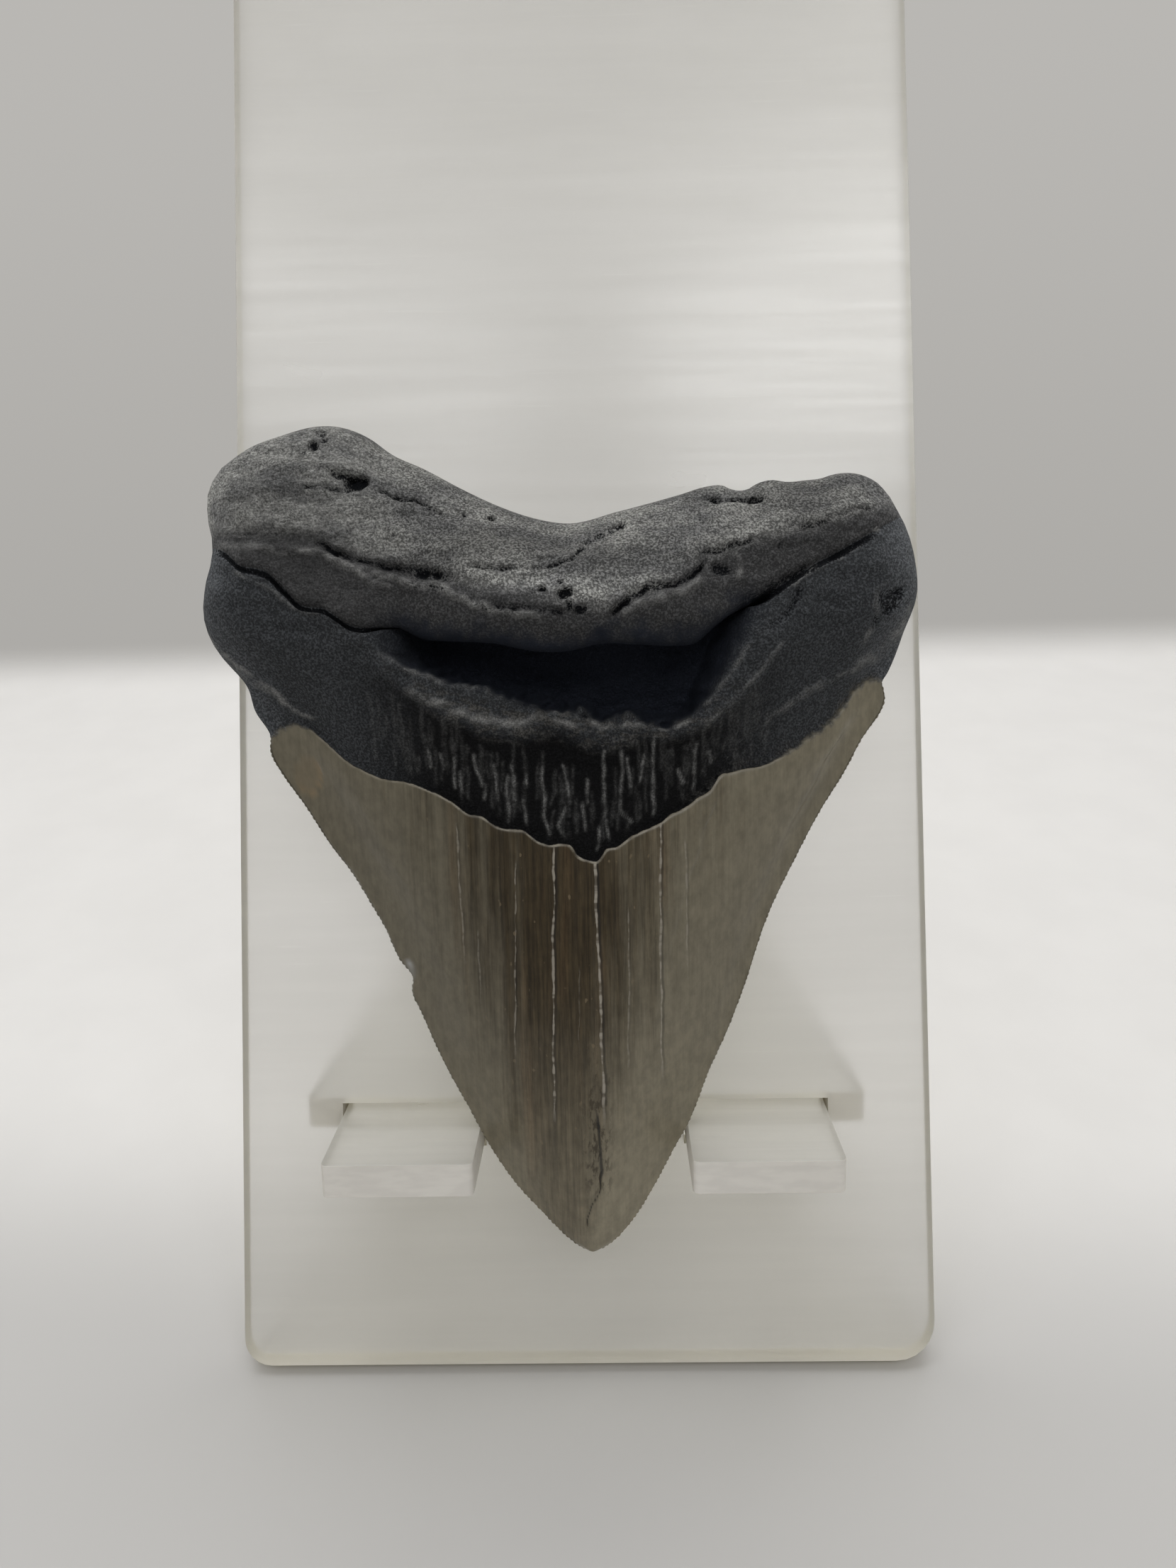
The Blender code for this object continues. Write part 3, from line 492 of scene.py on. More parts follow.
TIP_CRACK = ([(0.7, 22.5, 0.12), (1.1, 19.5, 0.3), (1.5, 16.1, 0.22), (1.6, 12.5, 0.32), (1.3, 10.3, 0.15),
              (0.4, 8, 0.12), (-0.6, 5.6, 0.12), (-0.9, 3, 0.1)], 0.3)
print(len(GROOVES), "grooves,", len(PITS), "pits,", len(PALE_LIT_RIDGES), "pale ridges")

# %% Putting the marks on
# The layers of lumps are a width, a height and how far they stand out.
ROOT_LUMPS = ((9.0, 9.0, 0.6), (6.0, 2.4, 0.5), (2.6, 1.2, 0.28), (1.1, 1.0, 0.17), (0.6, 0.6, 0.1))
BACK_LUMPS = ((12.0, 12.0, 0.45), (4.0, 4.0, 0.3), (1.6, 1.6, 0.14))
FADE_OUT = 0.1  # the share of a line over which it fades at each of its ends
WANDER, FRAY = 0.5, 0.25  # how far a mark is bent, in its coarse and its fine wander
# Painted shade: grooves and pits are painted black, as shade in the recess, the more so the deeper they are.
GROOVE_SHADE = (0.3, 0.5)  # how black a shallow one is, and how much more for each millimetre
PIT_SHADE = (0.35, 0.6)


def rough(x, h, wide, tall, seed):
    """Smooth random numbers around 0, in lumps of a width and a height."""
    return np.array([noise.noise(Vector((a / wide, b / tall, seed))) for a, b in zip(x, h)])


def lumps(x, h, layers, shift=0.0):
    """Rough lumps of several sizes."""
    return sum(height * rough(x, h, wide, tall, wide + shift) for wide, tall, height in layers)


def along_line(x, h, points):
    """1 on a line whose points carry half widths, falling to 0 beside it and towards its two ends."""
    line = np.array(points, float)
    away, along = distance_to_line(x, h, line[:, :2])
    run = np.concatenate([[0], np.cumsum(np.hypot(*np.diff(line[:, :2], axis=0).T))])
    half_width = np.interp(along, run / run[-1], line[:, 2])
    return np.exp(-((away / half_width) ** 2)) * ease(0, FADE_OUT, along) * ease(0, FADE_OUT, 1 - along)


def ragged(x, h, coarse, fine, seeds):
    """A sideways shift, in millimetres, that bends a mark a little: a coarse wander and a fine one."""
    return WANDER * rough(x, h, coarse, coarse, seeds[0]) + FRAY * rough(x, h, fine, fine, seeds[1])


def marks(x, h):
    """Cracks and pits of the root: the change in depth, and how black a crack or pit is painted, as painted
    shade in it.
    """
    relief, recess_shade = np.zeros(len(x)), np.zeros(len(x))
    ragged_x = x + ragged(x, h, 2.4, 0.9, (20.5, 31.5))
    ragged_h = h + ragged(x, h, 2.4, 0.9, (42.5, 53.5))
    open_here = np.clip(0.95 + 0.8 * rough(x, h, 1.1, 1.1, 64.5), 0.6, 1.3)
    for points, depth in GROOVES:
        shown = along_line(ragged_x, ragged_h, points) * open_here
        relief -= depth * shown
        recess_shade = np.maximum(recess_shade, shown * min(1, GROOVE_SHADE[0] + GROOVE_SHADE[1] * depth))
    for (centre_x, centre_h), half_length, half_height, depth in PITS:
        reach = ((ragged_x - centre_x) / half_length) ** 2 + ((ragged_h - centre_h) / half_height) ** 2
        shown = 1 - ease(0.4, 1.5, reach)
        relief -= depth * shown
        recess_shade = np.maximum(recess_shade, shown * min(1, PIT_SHADE[0] + PIT_SHADE[1] * depth))
    return relief, recess_shade


def pale_lit_ridges(x, h):
    """Height and paleness of the ridges: partly pale worn bone, partly a painted highlight where they catch
    the light.
    """
    height, pale = np.zeros(len(x)), np.zeros(len(x))
    ragged_h = h + ragged(x, h, 2.0, 0.7, (75.5, 86.5))
    torn = np.clip(0.8 + 1.2 * rough(x, h, 1.6, 0.9, 97.5), 0.15, 1.3)
    for points, rise, shade in PALE_LIT_RIDGES:
        near = along_line(x, ragged_h, points)
        height += rise * near
        pale = np.maximum(pale, shade * near * torn)
    return height, pale


def patch_brightness(x, h):
    """How much brighter or darker the root is painted in soft patches."""
    bright = np.ones(len(x))
    for (centre_x, centre_h), half_length, half_height, there in BRIGHTNESS_PATCHES:
        reach = ((x - centre_x) / half_length) ** 2 + ((h - centre_h) / half_height) ** 2
        bright *= there ** np.exp(-reach)
    return bright


print("the root has lumps of", len(ROOT_LUMPS), "sizes and its back of", len(BACK_LUMPS))

# %% [markdown]
# ## The ridged dark band
#
# Between the crown and the root runs a dark band, which still shows fine upright ridges where thin
# enamel once lay. The strongest are listed one by one, as short strokes from a top to a bottom point.
# A seeded random set fills in the rest, because a repeat would look like a comb.

# %% Strokes of the dark band
STROKES = [
    ((-20.8, 70.9), (-20.6, 68.8)), ((-19.1, 70.4), (-18.9, 68.5)), ((-17.4, 69.8), (-17.2, 66)),
    ((-16.5, 67.9), (-16.2, 65.3)), ((-14.6, 70.2), (-13.8, 66.2)), ((-13.3, 66.2), (-13.2, 64.4)),
    ((-11.9, 68.8), (-11.4, 64)), ((-10.1, 67.3), (-10.1, 61.2)), ((-9.5, 68.7), (-9.1, 64)),
    ((-7.8, 67.7), (-7.8, 66.3)), ((-8.1, 64), (-7.8, 60.9)), ((-5.4, 68.6), (-5.3, 62)),
    ((-5.3, 62), (-4.5, 59.4)), ((-2.6, 68.6), (-1.8, 63.7)), ((-2.5, 63.1), (-3.4, 60.6)),
    ((-3.4, 60.6), (-2.5, 58.8)), ((0.5, 66.7), (0.5, 63.6)), ((-0.2, 63.4), (0.2, 60.1)),
    ((2, 60.2), (1.7, 57.4)), ((2.8, 70.4), (2.7, 61.9)), ((3, 61.2), (3.3, 58.5)),
    ((5.2, 70.3), (4.9, 62.4)), ((4.9, 62.4), (6.2, 61)), ((5.8, 69.4), (6.3, 65.6)),
    ((8, 69.8), (7.6, 66.6)), ((9.4, 72.1), (9.2, 62)), ((11.5, 65.4), (12.6, 67.8)),
    ((12.6, 67.8), (13.3, 66)), ((15, 71.1), (14.7, 65.5)), ((16.8, 70.2), (17.1, 68.8)),
    ((18.6, 68.5), (19.7, 70.4)), ((20.7, 70.7), (21.2, 72.5)),
]  # fmt: skip
# Sizes in millimetres, and how strongly a stroke shows at its middle.
STROKE_HALF_WIDTH = 0.21
STROKE_HEIGHT = 0.2
STROKE_STRENGTH = 0.57
FAINT_STROKES = 170
FAINT_STRENGTH = 0.14
FAINT_SEED = 4
print(len(STROKES), "strong strokes and", FAINT_STROKES, "faint ones")

# %% Ridges of the dark band
def faint_strokes(count):
    """Random short strokes all over the band, weaker than the listed ones."""
    chance = np.random.default_rng(FAINT_SEED)
    made = []
    for _ in range(count):
        x = chance.uniform(-29, 25)
        low = float(line_height(ENAMEL_LINE, np.array(x))) + chance.uniform(0.3, 7.5)
        lean = chance.normal(0, 0.25)
        made.append(((x + lean, low + chance.uniform(1.5, 5.5)), (x, low)))
    return made


FAINT = faint_strokes(FAINT_STROKES)


def band_strokes(x, h):
    """How strongly an upright ridge of the dark band shows at each point, from 0 to about 1."""
    shown = np.zeros(len(x))
    wander = 0.3 * rough(x, h, 3.0, 2.2, 3.0)
    broken = np.clip(0.85 + 0.9 * rough(x, h, 1.5, 1.2, 8.0), 0.15, 1.2)
    for strokes, strength in ((STROKES, STROKE_STRENGTH), (FAINT, FAINT_STRENGTH)):
        for (top_x, top_h), (low_x, low_h) in strokes:
            near = (np.abs(x - (top_x + low_x) / 2) < 2.5) & (h < top_h + 1) & (h > low_h - 1)
            if near.any():
                stroke = [(top_x, top_h), (low_x, low_h)]
                away, _ = distance_to_line(x[near] + wander[near], h[near], stroke)
                here = strength * np.exp(-((away / STROKE_HALF_WIDTH) ** 2))
                shown[near] = np.maximum(shown[near], here)
    return shown * broken


print("the first faint stroke runs from", [round(float(v), 1) for v in FAINT[0][0]], "downwards")

# %% [markdown]
# ## Depth of the front and the back
#
# The crown is a shallow dome that grows thicker towards the root. The root is a thick rounded bar
# with a bulge in the middle, and a hollow under the bulge. Depths are in millimetres in front of
# the panel. The back is flatter and carries less detail, because it faces the panel.

# %% Sizes of the front and the back
STATIONS = (0, 1, 2, 3, 4, 5)
RIM_DEPTH = (6.0, 7.5, 9.5, 10.5, 10.5, 11.0)  # of the outline, at each station
CROWN_STATIONS = (0, 0.15, 0.35, 0.6, 0.8, 1)
CROWN_FRONT = (0.9, 3.2, 6.2, 9.0, 10.4, 11.5)  # how far the dome stands out at these
CROWN_BACK = (0.8, 1.6, 2.4, 3.6, 4.4, 5.0)
CROWN_POWER = 1.15  # above 1, so that the dome falls away a little faster towards its sides
ROOT_THICK = 9.5
ROOT_ROUND = 10.0
ROOT_BACK_ROUND = 7.0
ROOT_BACK_DEPTH = 0.6
BULGE_CENTRE = (1, 89)
BULGE_RADII = (23, 13)
BULGE_HEIGHT = 6.5
ENAMEL_STEP = 0.5
ENAMEL_RIPPLE = 0.05
HOLLOW_DEPTH = 9.0
HOLLOW_EDGE = [  # where the hollow's floor begins to fall away, above the lip
    (-31, 88), (-28.5, 85.2), (-26.9, 83.9), (-24.7, 82.6), (-21, 80.8), (-17.5, 79.6), (-13.8, 78.3),
    (-9.9, 77.3), (-5.9, 76), (-2.9, 75.4), (0.8, 75), (2.7, 73.9), (6, 74.7), (10.1, 73.7),
    (12.9, 73.6), (15.3, 75.2), (18.1, 78.5), (20.1, 81.4), (21.8, 83.9), (25, 87.5),
]  # fmt: skip
HOLLOW_FALL = (-0.4, 2.6)  # heights above that edge over which it falls
# Painted shade: the hollow and the ledge's underside are painted near black, coming in over these heights.
HOLLOW_SHADE_HEIGHTS = (-0.3, 0.9)
HOLLOW_GENTLE = 3.0  # the right end falls this many times more slowly, besides
HOLLOW_GENTLE_FROM = (12, 20)
CRACK_FALL = (2.95, 3)  # stations over which the crack beyond the hollow's ends falls
# The crack beyond the hollow's ends is painted black there, as painted shade.
CRACK_SHOWN = (2.96, 3.8)  # and between which it's black
LEDGE_CURL = (0.6, 2.4)  # the ledge rolls in by this much at its lower edge, at a crack and at the hollow
LEDGE_CURL_HEIGHT = (1.6, 4.5)
LEDGE_SHADE_HEIGHT = 3.2
FOLD_LINE = [  # the fold where the root's worn top meets its dark front
    (-53, 101.5), (-45, 100.2), (-36, 99), (-30, 96.7), (-24, 95), (-20, 93.7), (-15, 92), (-8, 90),
    (-2, 88.6), (3, 88), (8, 89.8), (13, 92), (17.5, 94.6), (22, 96.6), (28, 98.2), (34, 100),
    (40, 102), (46, 104),
]  # fmt: skip
FOLD_SLOPE = 0.14  # the top leans back by this much for each millimetre above the fold
FOLD_REACH = 9  # up to this far above it
HOLLOW_FADE = 5.0
RELIEF_FADE = 4.0
CHIP = ((-39.4, 68.2), (2.4, 2.9), 0.25)  # centre, radii and depth of the flake off the left edge
print("the root stands", ROOT_THICK + BULGE_HEIGHT, "mm proud of its rim at the bulge")

# %% Depth of the front
def round_over(distance, radius):
    """0 at the edge and 1 from a radius inside it, along a quarter circle."""
    return np.sqrt(1 - (1 - np.clip(distance / radius, 0, 1)) ** 2)


def crown_marks(x, h, inside):
    """The crack near the tip and the chip: how much of each there is, and what they take off."""
    (chip_x, chip_h), (wide, tall), chip_depth = CHIP
    reach = np.sqrt(((x - chip_x) / wide) ** 2 + ((h - chip_h) / tall) ** 2)
    low_right = np.clip(0.5 + (x - chip_x) / wide - (h - chip_h) / tall, 0, 1)
    chip = (1 - ease(0.88, 1.0, reach)) * (0.35 + 0.65 * low_right * ease(0.5, 0.85, reach))
    crack_line, crack_depth = TIP_CRACK
    crack = along_line(x + 0.35 * rough(x, h, 1.4, 1.8, 44.5), h, crack_line)
    return crack, chip, crack_depth * crack + chip_depth * chip * ease(0, 0.5, inside)


def under_ledge(station, x, h, inside):
    """The hollow and the ledge over it: how far a row is sunk, how much painted shade the hollow gives it,
    and the painted shade in its crack.
    """
    hollow = hollow_share(x)
    crack = np.interp(x, CRACK_PLACES, CRACK_DEPTHS)
    drop = HOLLOW_DEPTH * hollow + crack * (1 - hollow)
    curl, curl_height = (low + (high - low) * hollow for low, high in (LEDGE_CURL, LEDGE_CURL_HEIGHT))
    torn = rough(x, h, 2.6, 1.6, 12.5) + 0.6 * rough(x, h, 0.9, 0.9, 13.5)
    if station <= 3:
        edge_x = np.clip(x, HOLLOW_EDGE[0][0], HOLLOW_EDGE[-1][0])
        above_edge = h - line_height(HOLLOW_EDGE, edge_x) + torn
        gentle = 1 + HOLLOW_GENTLE * ease(*HOLLOW_GENTLE_FROM, x)
        fall = ease(*HOLLOW_FALL, above_edge / gentle) * hollow + ease(*CRACK_FALL, station) * (1 - hollow)
        sunk = drop * fall
        hollow_shade = hollow * ease(*HOLLOW_SHADE_HEIGHTS, above_edge / gentle)
    elif station <= 4:
        sunk = curl + (drop - curl) * (4 - station)
        hollow_shade = hollow
    else:
        above_ledge = h - line_height(LEDGE_LINE, x)
        sunk = curl * (1 - round_over(above_ledge, curl_height))
        hollow_shade = hollow * (1 - ease(0, LEDGE_SHADE_HEIGHT, above_ledge + 1.5 * torn))
    shown = CRACK_SHOWN[0] < station < CRACK_SHOWN[1]
    recess_shade = shown * (1 - hollow) * ease(0.25, 0.8, crack) * ease(0, 3, inside)
    return sunk * ease(0, HOLLOW_FADE, inside), hollow_shade, recess_shade


def front_row(station, x, h, across, inside):
    """Depth of one row of the front, and the marks that colour it.

    across runs from 0 to 1 between the smooth sides. The last mark is the chip on the crown, and the
    height above the fold on the root.
    """
    rim = np.interp(station, STATIONS, RIM_DEPTH)
    bow = np.clip(1 - (2 * across - 1) ** 2, 0, 1) ** CROWN_POWER
    crown = np.interp(station, CROWN_STATIONS, CROWN_FRONT) * bow
    near_rim = ease(0, RELIEF_FADE, inside)
    rise, pale = pale_lit_ridges(x, h)
    rise *= ease(0, 1.5, inside)
    if station <= 1:
        crack, chip, lost = crown_marks(x, h, inside)
        depth = rim + crown + ENAMEL_RIPPLE * rough(x, h, 1.6, 30, 5.0) * near_rim - lost
        return depth, crack, pale, np.zeros(len(x)), chip
    reach = ((x - BULGE_CENTRE[0]) / BULGE_RADII[0]) ** 2 + ((h - BULGE_CENTRE[1]) / BULGE_RADII[1]) ** 2
    root = (ROOT_THICK + BULGE_HEIGHT * np.exp(-reach)) * round_over(inside, ROOT_ROUND)
    blend_in = ease(1, 2, station)
    depth = rim + crown * (1 - blend_in) + root * blend_in
    relief, recess_shade = marks(x, h)
    strokes = band_strokes(x, h) * ease(1.02, 1.15, station) * (1 - ease(1.85, 2.0, station))
    bumpy = lumps(x, h, ROOT_LUMPS) * ease(1.3, 2, station) + relief
    depth += bumpy * near_rim + rise + STROKE_HEIGHT * strokes
    depth -= ENAMEL_STEP * ease(1, 1.03, station) * ease(0, 1.5, inside) * (1 - ease(1.5, 2, station))
    above_fold = h - line_height(FOLD_LINE, x)
    depth -= FOLD_SLOPE * np.clip(above_fold, 0, FOLD_REACH) * near_rim * (station > 4)
    sunk, hollow_shade, crack = under_ledge(station, x, h, inside)
    return depth - sunk, np.maximum(recess_shade, crack) * near_rim, np.maximum(pale, strokes), hollow_shade, above_fold


print("the hollow is", HOLLOW_DEPTH, "mm deep, under a ledge with a curl of", LEDGE_CURL[1], "mm")

# %% Depth of the back
def back_row(station, x, h, across, inside):
    """Depth of one row of the back."""
    rim = np.interp(station, STATIONS, RIM_DEPTH)
    crown = np.interp(station, CROWN_STATIONS, CROWN_BACK) * np.clip(1 - (2 * across - 1) ** 2, 0, 1)
    root = (rim - ROOT_BACK_DEPTH) * round_over(inside, ROOT_BACK_ROUND)
    blend_in = ease(0.9, 2, station)
    uneven = np.abs(lumps(x, h, BACK_LUMPS, shift=50.0)) * ease(0, RELIEF_FADE, inside)
    return rim - crown * (1 - blend_in) - root * blend_in + uneven * blend_in


print("the flat back of the root is", ROOT_BACK_DEPTH, "mm from the panel")

# %% [markdown]
# ## One closed skin
#
# The front and the back share the points along the outline, so the tooth is closed like the real
# one. Along the top the back has fewer points than the front, and each of its cells there is a
# small fan. Besides its place, each point keeps a few values that the material will read: how far
# it is from the enamel's edge, how much painted shade its crack gets, how pale its ridge, how much
# painted shade the hollow gives it, and so on.

# %% Points, faces and values
VALUES = ("station", "enamel_mm", "crack", "pale", "hollow", "chip", "fold_mm", "inside_mm", "patch_brightness")
TIP_VALUES = (0.0, 50.0, 0, 0, 0, 0, 0, 0, 0)
enamel_x = np.linspace(ENAMEL_LINE[0][0], ENAMEL_LINE[-1][0], 260)
enamel_edge = np.stack([enamel_x, line_height(ENAMEL_LINE, enamel_x)], 1)


def from_enamel_edge(station, x, h):
    """Distance from the enamel's edge, positive on the crown and negative on the root."""
    if station > 2.5:
        return np.full(len(x), -20.0)
    away, _ = distance_to_line(x, h, enamel_edge)
    return away if station <= 1 else -away


def front_faces(rows):
    faces = []
    for low, high in zip(rows[:-1], rows[1:]):
        for j in range(FRONT_COLUMNS):
            faces.append(tuple(dict.fromkeys((low[j], low[j + 1], high[j + 1], high[j]))))
    return faces


def back_faces(rows):
    faces = []
    for index, (low, high) in enumerate(zip(rows[:-1], rows[1:])):
        for j in range(0, FRONT_COLUMNS, BACK_EVERY):
            k = j + BACK_EVERY
            if index < len(rows) - 2:
                faces.append(tuple(dict.fromkeys((low[k], low[j], high[j], high[k]))))
                continue
            faces.extend((low[j], high[m], high[m + 1]) for m in range(j, k))
            faces.append((low[j], high[k], low[k]))
    return faces


def tooth_surface():
    """Points (x, depth, height), faces, and one list for each of the values."""
    points = [np.array([[0.0, RIM_DEPTH[0], 0.0]])]
    values = [np.array([TIP_VALUES])]
    front = [[0] * (FRONT_COLUMNS + 1)]
    back = [[0] * (FRONT_COLUMNS + 1)]
    count = 1
    inner = np.arange(BACK_EVERY, FRONT_COLUMNS, BACK_EVERY)
    for station, x, h, across, inside in zip(stations, front_x, front_h, front_across, front_inside):
        # crack and hollow say how much painted shade a point gets in a crack and in the hollow.
        depth, crack, pale, hollow, last = front_row(station, x, h, across, inside)
        chip, fold = (last, 0 * last) if station <= 1 else (0 * last, last)
        depth[[0, -1]] = np.interp(station, STATIONS, RIM_DEPTH)
        enamel = from_enamel_edge(station, x, h)
        zero = np.zeros(len(x))
        points.append(np.stack([x, depth, h], 1))
        shown = [zero + station, enamel, crack, pale, hollow, chip, fold, inside, patch_brightness(x, h)]
        values.append(np.stack(shown, 1))
        row = list(range(count, count + len(x)))
        count += len(x)
        front.append(row)
        if station == stations[-1]:
            back.append(row)
            continue
        depth = back_row(station, x[inner], h[inner], across[inner], inside[inner])
        points.append(np.stack([x[inner], depth, h[inner]], 1))
        behind = [zero + station, enamel, zero, zero, zero, zero, fold, inside, zero + 1.0]
        values.append(np.stack(behind, 1)[inner])
        back.append({0: row[0], FRONT_COLUMNS: row[-1], **dict(zip(inner, range(count, count + len(inner))))})
        count += len(inner)
    return np.concatenate(points), front_faces(front) + back_faces(back), np.concatenate(values).T


places, faces, values = tooth_surface()
# The left side keeps inside the measured tooth's box.
left_limit = (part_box("tooth")[0].x - tooth_to_world.translation.x) / MM
places[:, 0] = np.maximum(places[:, 0], left_limit)
print(len(places), "points and", len(faces), "faces")

# %% The tooth's mesh
def to_world(points_mm):
    """Points in the tooth's own directions, in millimetres, as world points in metres."""
    return [tooth_to_world @ (Vector((x, -depth, h)) * MM) for x, depth, h in points_mm]


def add_values(mesh, names, lists):
    for name, numbers in zip(names, lists):
        mesh.attributes.new(name, "FLOAT", "POINT").data.foreach_set("value", np.asarray(numbers, np.float32))


tooth_mesh = bpy.data.meshes.new("tooth skin")
tooth_mesh.from_pydata(to_world(places), [], faces)
add_values(tooth_mesh, VALUES, values)
place = tooth_mesh.attributes.new("tooth_mm", "FLOAT_VECTOR", "POINT")
place.data.foreach_set("vector", places.astype(np.float32).ravel())
tooth = bpy.data.objects.new("megalodon_tooth", tooth_mesh)
bpy.context.scene.collection.objects.link(tooth)
tooth_mesh.shade_smooth()
cad_low, cad_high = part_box("tooth")
skin = np.array([v.co for v in tooth_mesh.vertices])
print("skin against the measured solid, in mm: low",
      [round((a - b) / MM, 2) for a, b in zip(skin.min(0), cad_low)],
      "high", [round((a - b) / MM, 2) for a, b in zip(skin.max(0), cad_high)])  # fmt: skip

# %% [markdown]
# ## The saw edge
#
# A megalodon's cutting edges are finely serrated, like a steak knife, with three or four small
# beads to every two or three millimetres. This tooth's beads are worn almost smooth. Geometry
# Nodes is the right tool, because the beads follow a path and repeat: the tree finds the tooth's
# cutting edge, spaces points along it and puts a low bead on each.

# %% Beads along the cutting edge
BEAD_PITCH = 0.72
BEAD_SIZE = (0.66, 0.26, 0.26)  # along the edge, across it, and through the tooth
BEAD_SPREAD = 0.6  # the smallest bead is smaller than the largest by this share
BEAD_SEED = 11


def serration_tree():
    """Nodes that add beads along the edge marked by the attribute cutting_edge."""
    tree = bpy.data.node_groups.new("serrated cutting edge", "GeometryNodeTree")
    given, out = sockets(
        tree,
        [
            ("Geometry", "NodeSocketGeometry", None),
            ("Pitch", "NodeSocketFloat", None),
            ("Bead Size", "NodeSocketVector", None),
            ("Size Spread", "NodeSocketFloat", None),
            ("Seed", "NodeSocketInt", None),
            ("Finish", "NodeSocketMaterial", None),
        ],
        [("Geometry", "NodeSocketGeometry")],
    )
    edge = put(tree, "GeometryNodeInputNamedAttribute", {"Name": "cutting_edge"}, data_type="FLOAT")
    marked = {0: edge.outputs["Attribute"], 1: 0.9}
    on_edge = put(tree, "FunctionNodeCompare", marked, operation="GREATER_THAN").outputs[0]
    path = put(tree, "GeometryNodeMeshToCurve", {"Mesh": given["Geometry"], "Selection": on_edge})
    steps = {"Curve": path.outputs[0], "Length": given["Pitch"]}
    spaced = put(tree, "GeometryNodeResampleCurve", steps, mode="LENGTH")
    along = tree.nodes.new("GeometryNodeInputTangent").outputs[0]
    turn = put(tree, "FunctionNodeAlignRotationToVector", {"Vector": along}, axis="X").outputs[0]
    bead = put(tree, "GeometryNodeMeshIcoSphere", {"Radius": 0.5, "Subdivisions": 1})
    smooth = put(tree, "GeometryNodeSetShadeSmooth", {"Geometry": bead.outputs["Mesh"]})
    least = calc(tree, "SUBTRACT", 1.0, given["Size Spread"])
    chance = {2: least, 3: 1.0, "Seed": given["Seed"]}
    size = put(tree, "FunctionNodeRandomValue", chance, data_type="FLOAT").outputs[1]
    scale = put(tree, "ShaderNodeVectorMath", {0: given["Bead Size"], "Scale": size}, operation="SCALE")
    beads = put(
        tree,
        "GeometryNodeInstanceOnPoints",
        {
            "Points": spaced.outputs[0],
            "Instance": smooth.outputs[0],
            "Rotation": turn,
            "Scale": scale.outputs[0],
        },
    )
    both = tree.nodes.new("GeometryNodeJoinGeometry")
    tree.links.new(beads.outputs[0], both.inputs[0])
    tree.links.new(given["Geometry"], both.inputs[0])
    real = put(tree, "GeometryNodeRealizeInstances", {"Geometry": both.outputs[0]})
    finish = put(tree, "GeometryNodeSetMaterial", {"Geometry": real.outputs[0], "Material": given["Finish"]})
    tree.links.new(finish.outputs[0], out["Geometry"])
    return tree


def run_tree(piece, tree, **inputs):
    """Run a Geometry Nodes tree on a piece and keep its result as the piece's plain mesh."""
    modifier = piece.modifiers.new(tree.name, "NODES")
    modifier.node_group = tree
    for item in tree.interface.items_tree:
        if item.in_out == "INPUT" and item.name in inputs:
            modifier[item.identifier] = inputs[item.name]
    graph = bpy.context.evaluated_depsgraph_get()
    made = bpy.data.meshes.new_from_object(piece.evaluated_get(graph))
    piece.modifiers.remove(modifier)
    old, piece.data = piece.data, made
    bpy.data.meshes.remove(old)
    return piece


fossil = bpy.data.materials.new("fossil tooth")
kept = dict(zip(VALUES, values))
add_values(tooth_mesh, ["cutting_edge"], [(kept["inside_mm"] == 0) & (kept["station"] <= 1)])
run_tree(
    tooth,
    serration_tree(),
    **{
        "Pitch": BEAD_PITCH * MM,
        "Bead Size": [size * MM for size in BEAD_SIZE],
        "Size Spread": BEAD_SPREAD,
        "Seed": BEAD_SEED,
        "Finish": fossil,
    },
)
print("with its beads the tooth has", len(tooth.data.polygons), "faces")

# %% [markdown]
# ## Hairline cracks in the enamel
#
# Enamel is hard and thin, and as the tooth dried it split along its length. Each split shows as a
# pale hair with a thin shadow beside it. They are far finer than the mesh, so they belong in the
# material. One node group draws one hair, and the material uses it again for each crack with its
# own place, lean, width and strength.

# %% The hairline group
EVENLY = (1, 1, 1)  # noise that is stretched in no direction
HAIR_MIDDLE = 45.0  # the height at which a hair's place is given
SHADOW_OFFSET = 2.2  # the shadow's middle, in half widths to the right of the hair


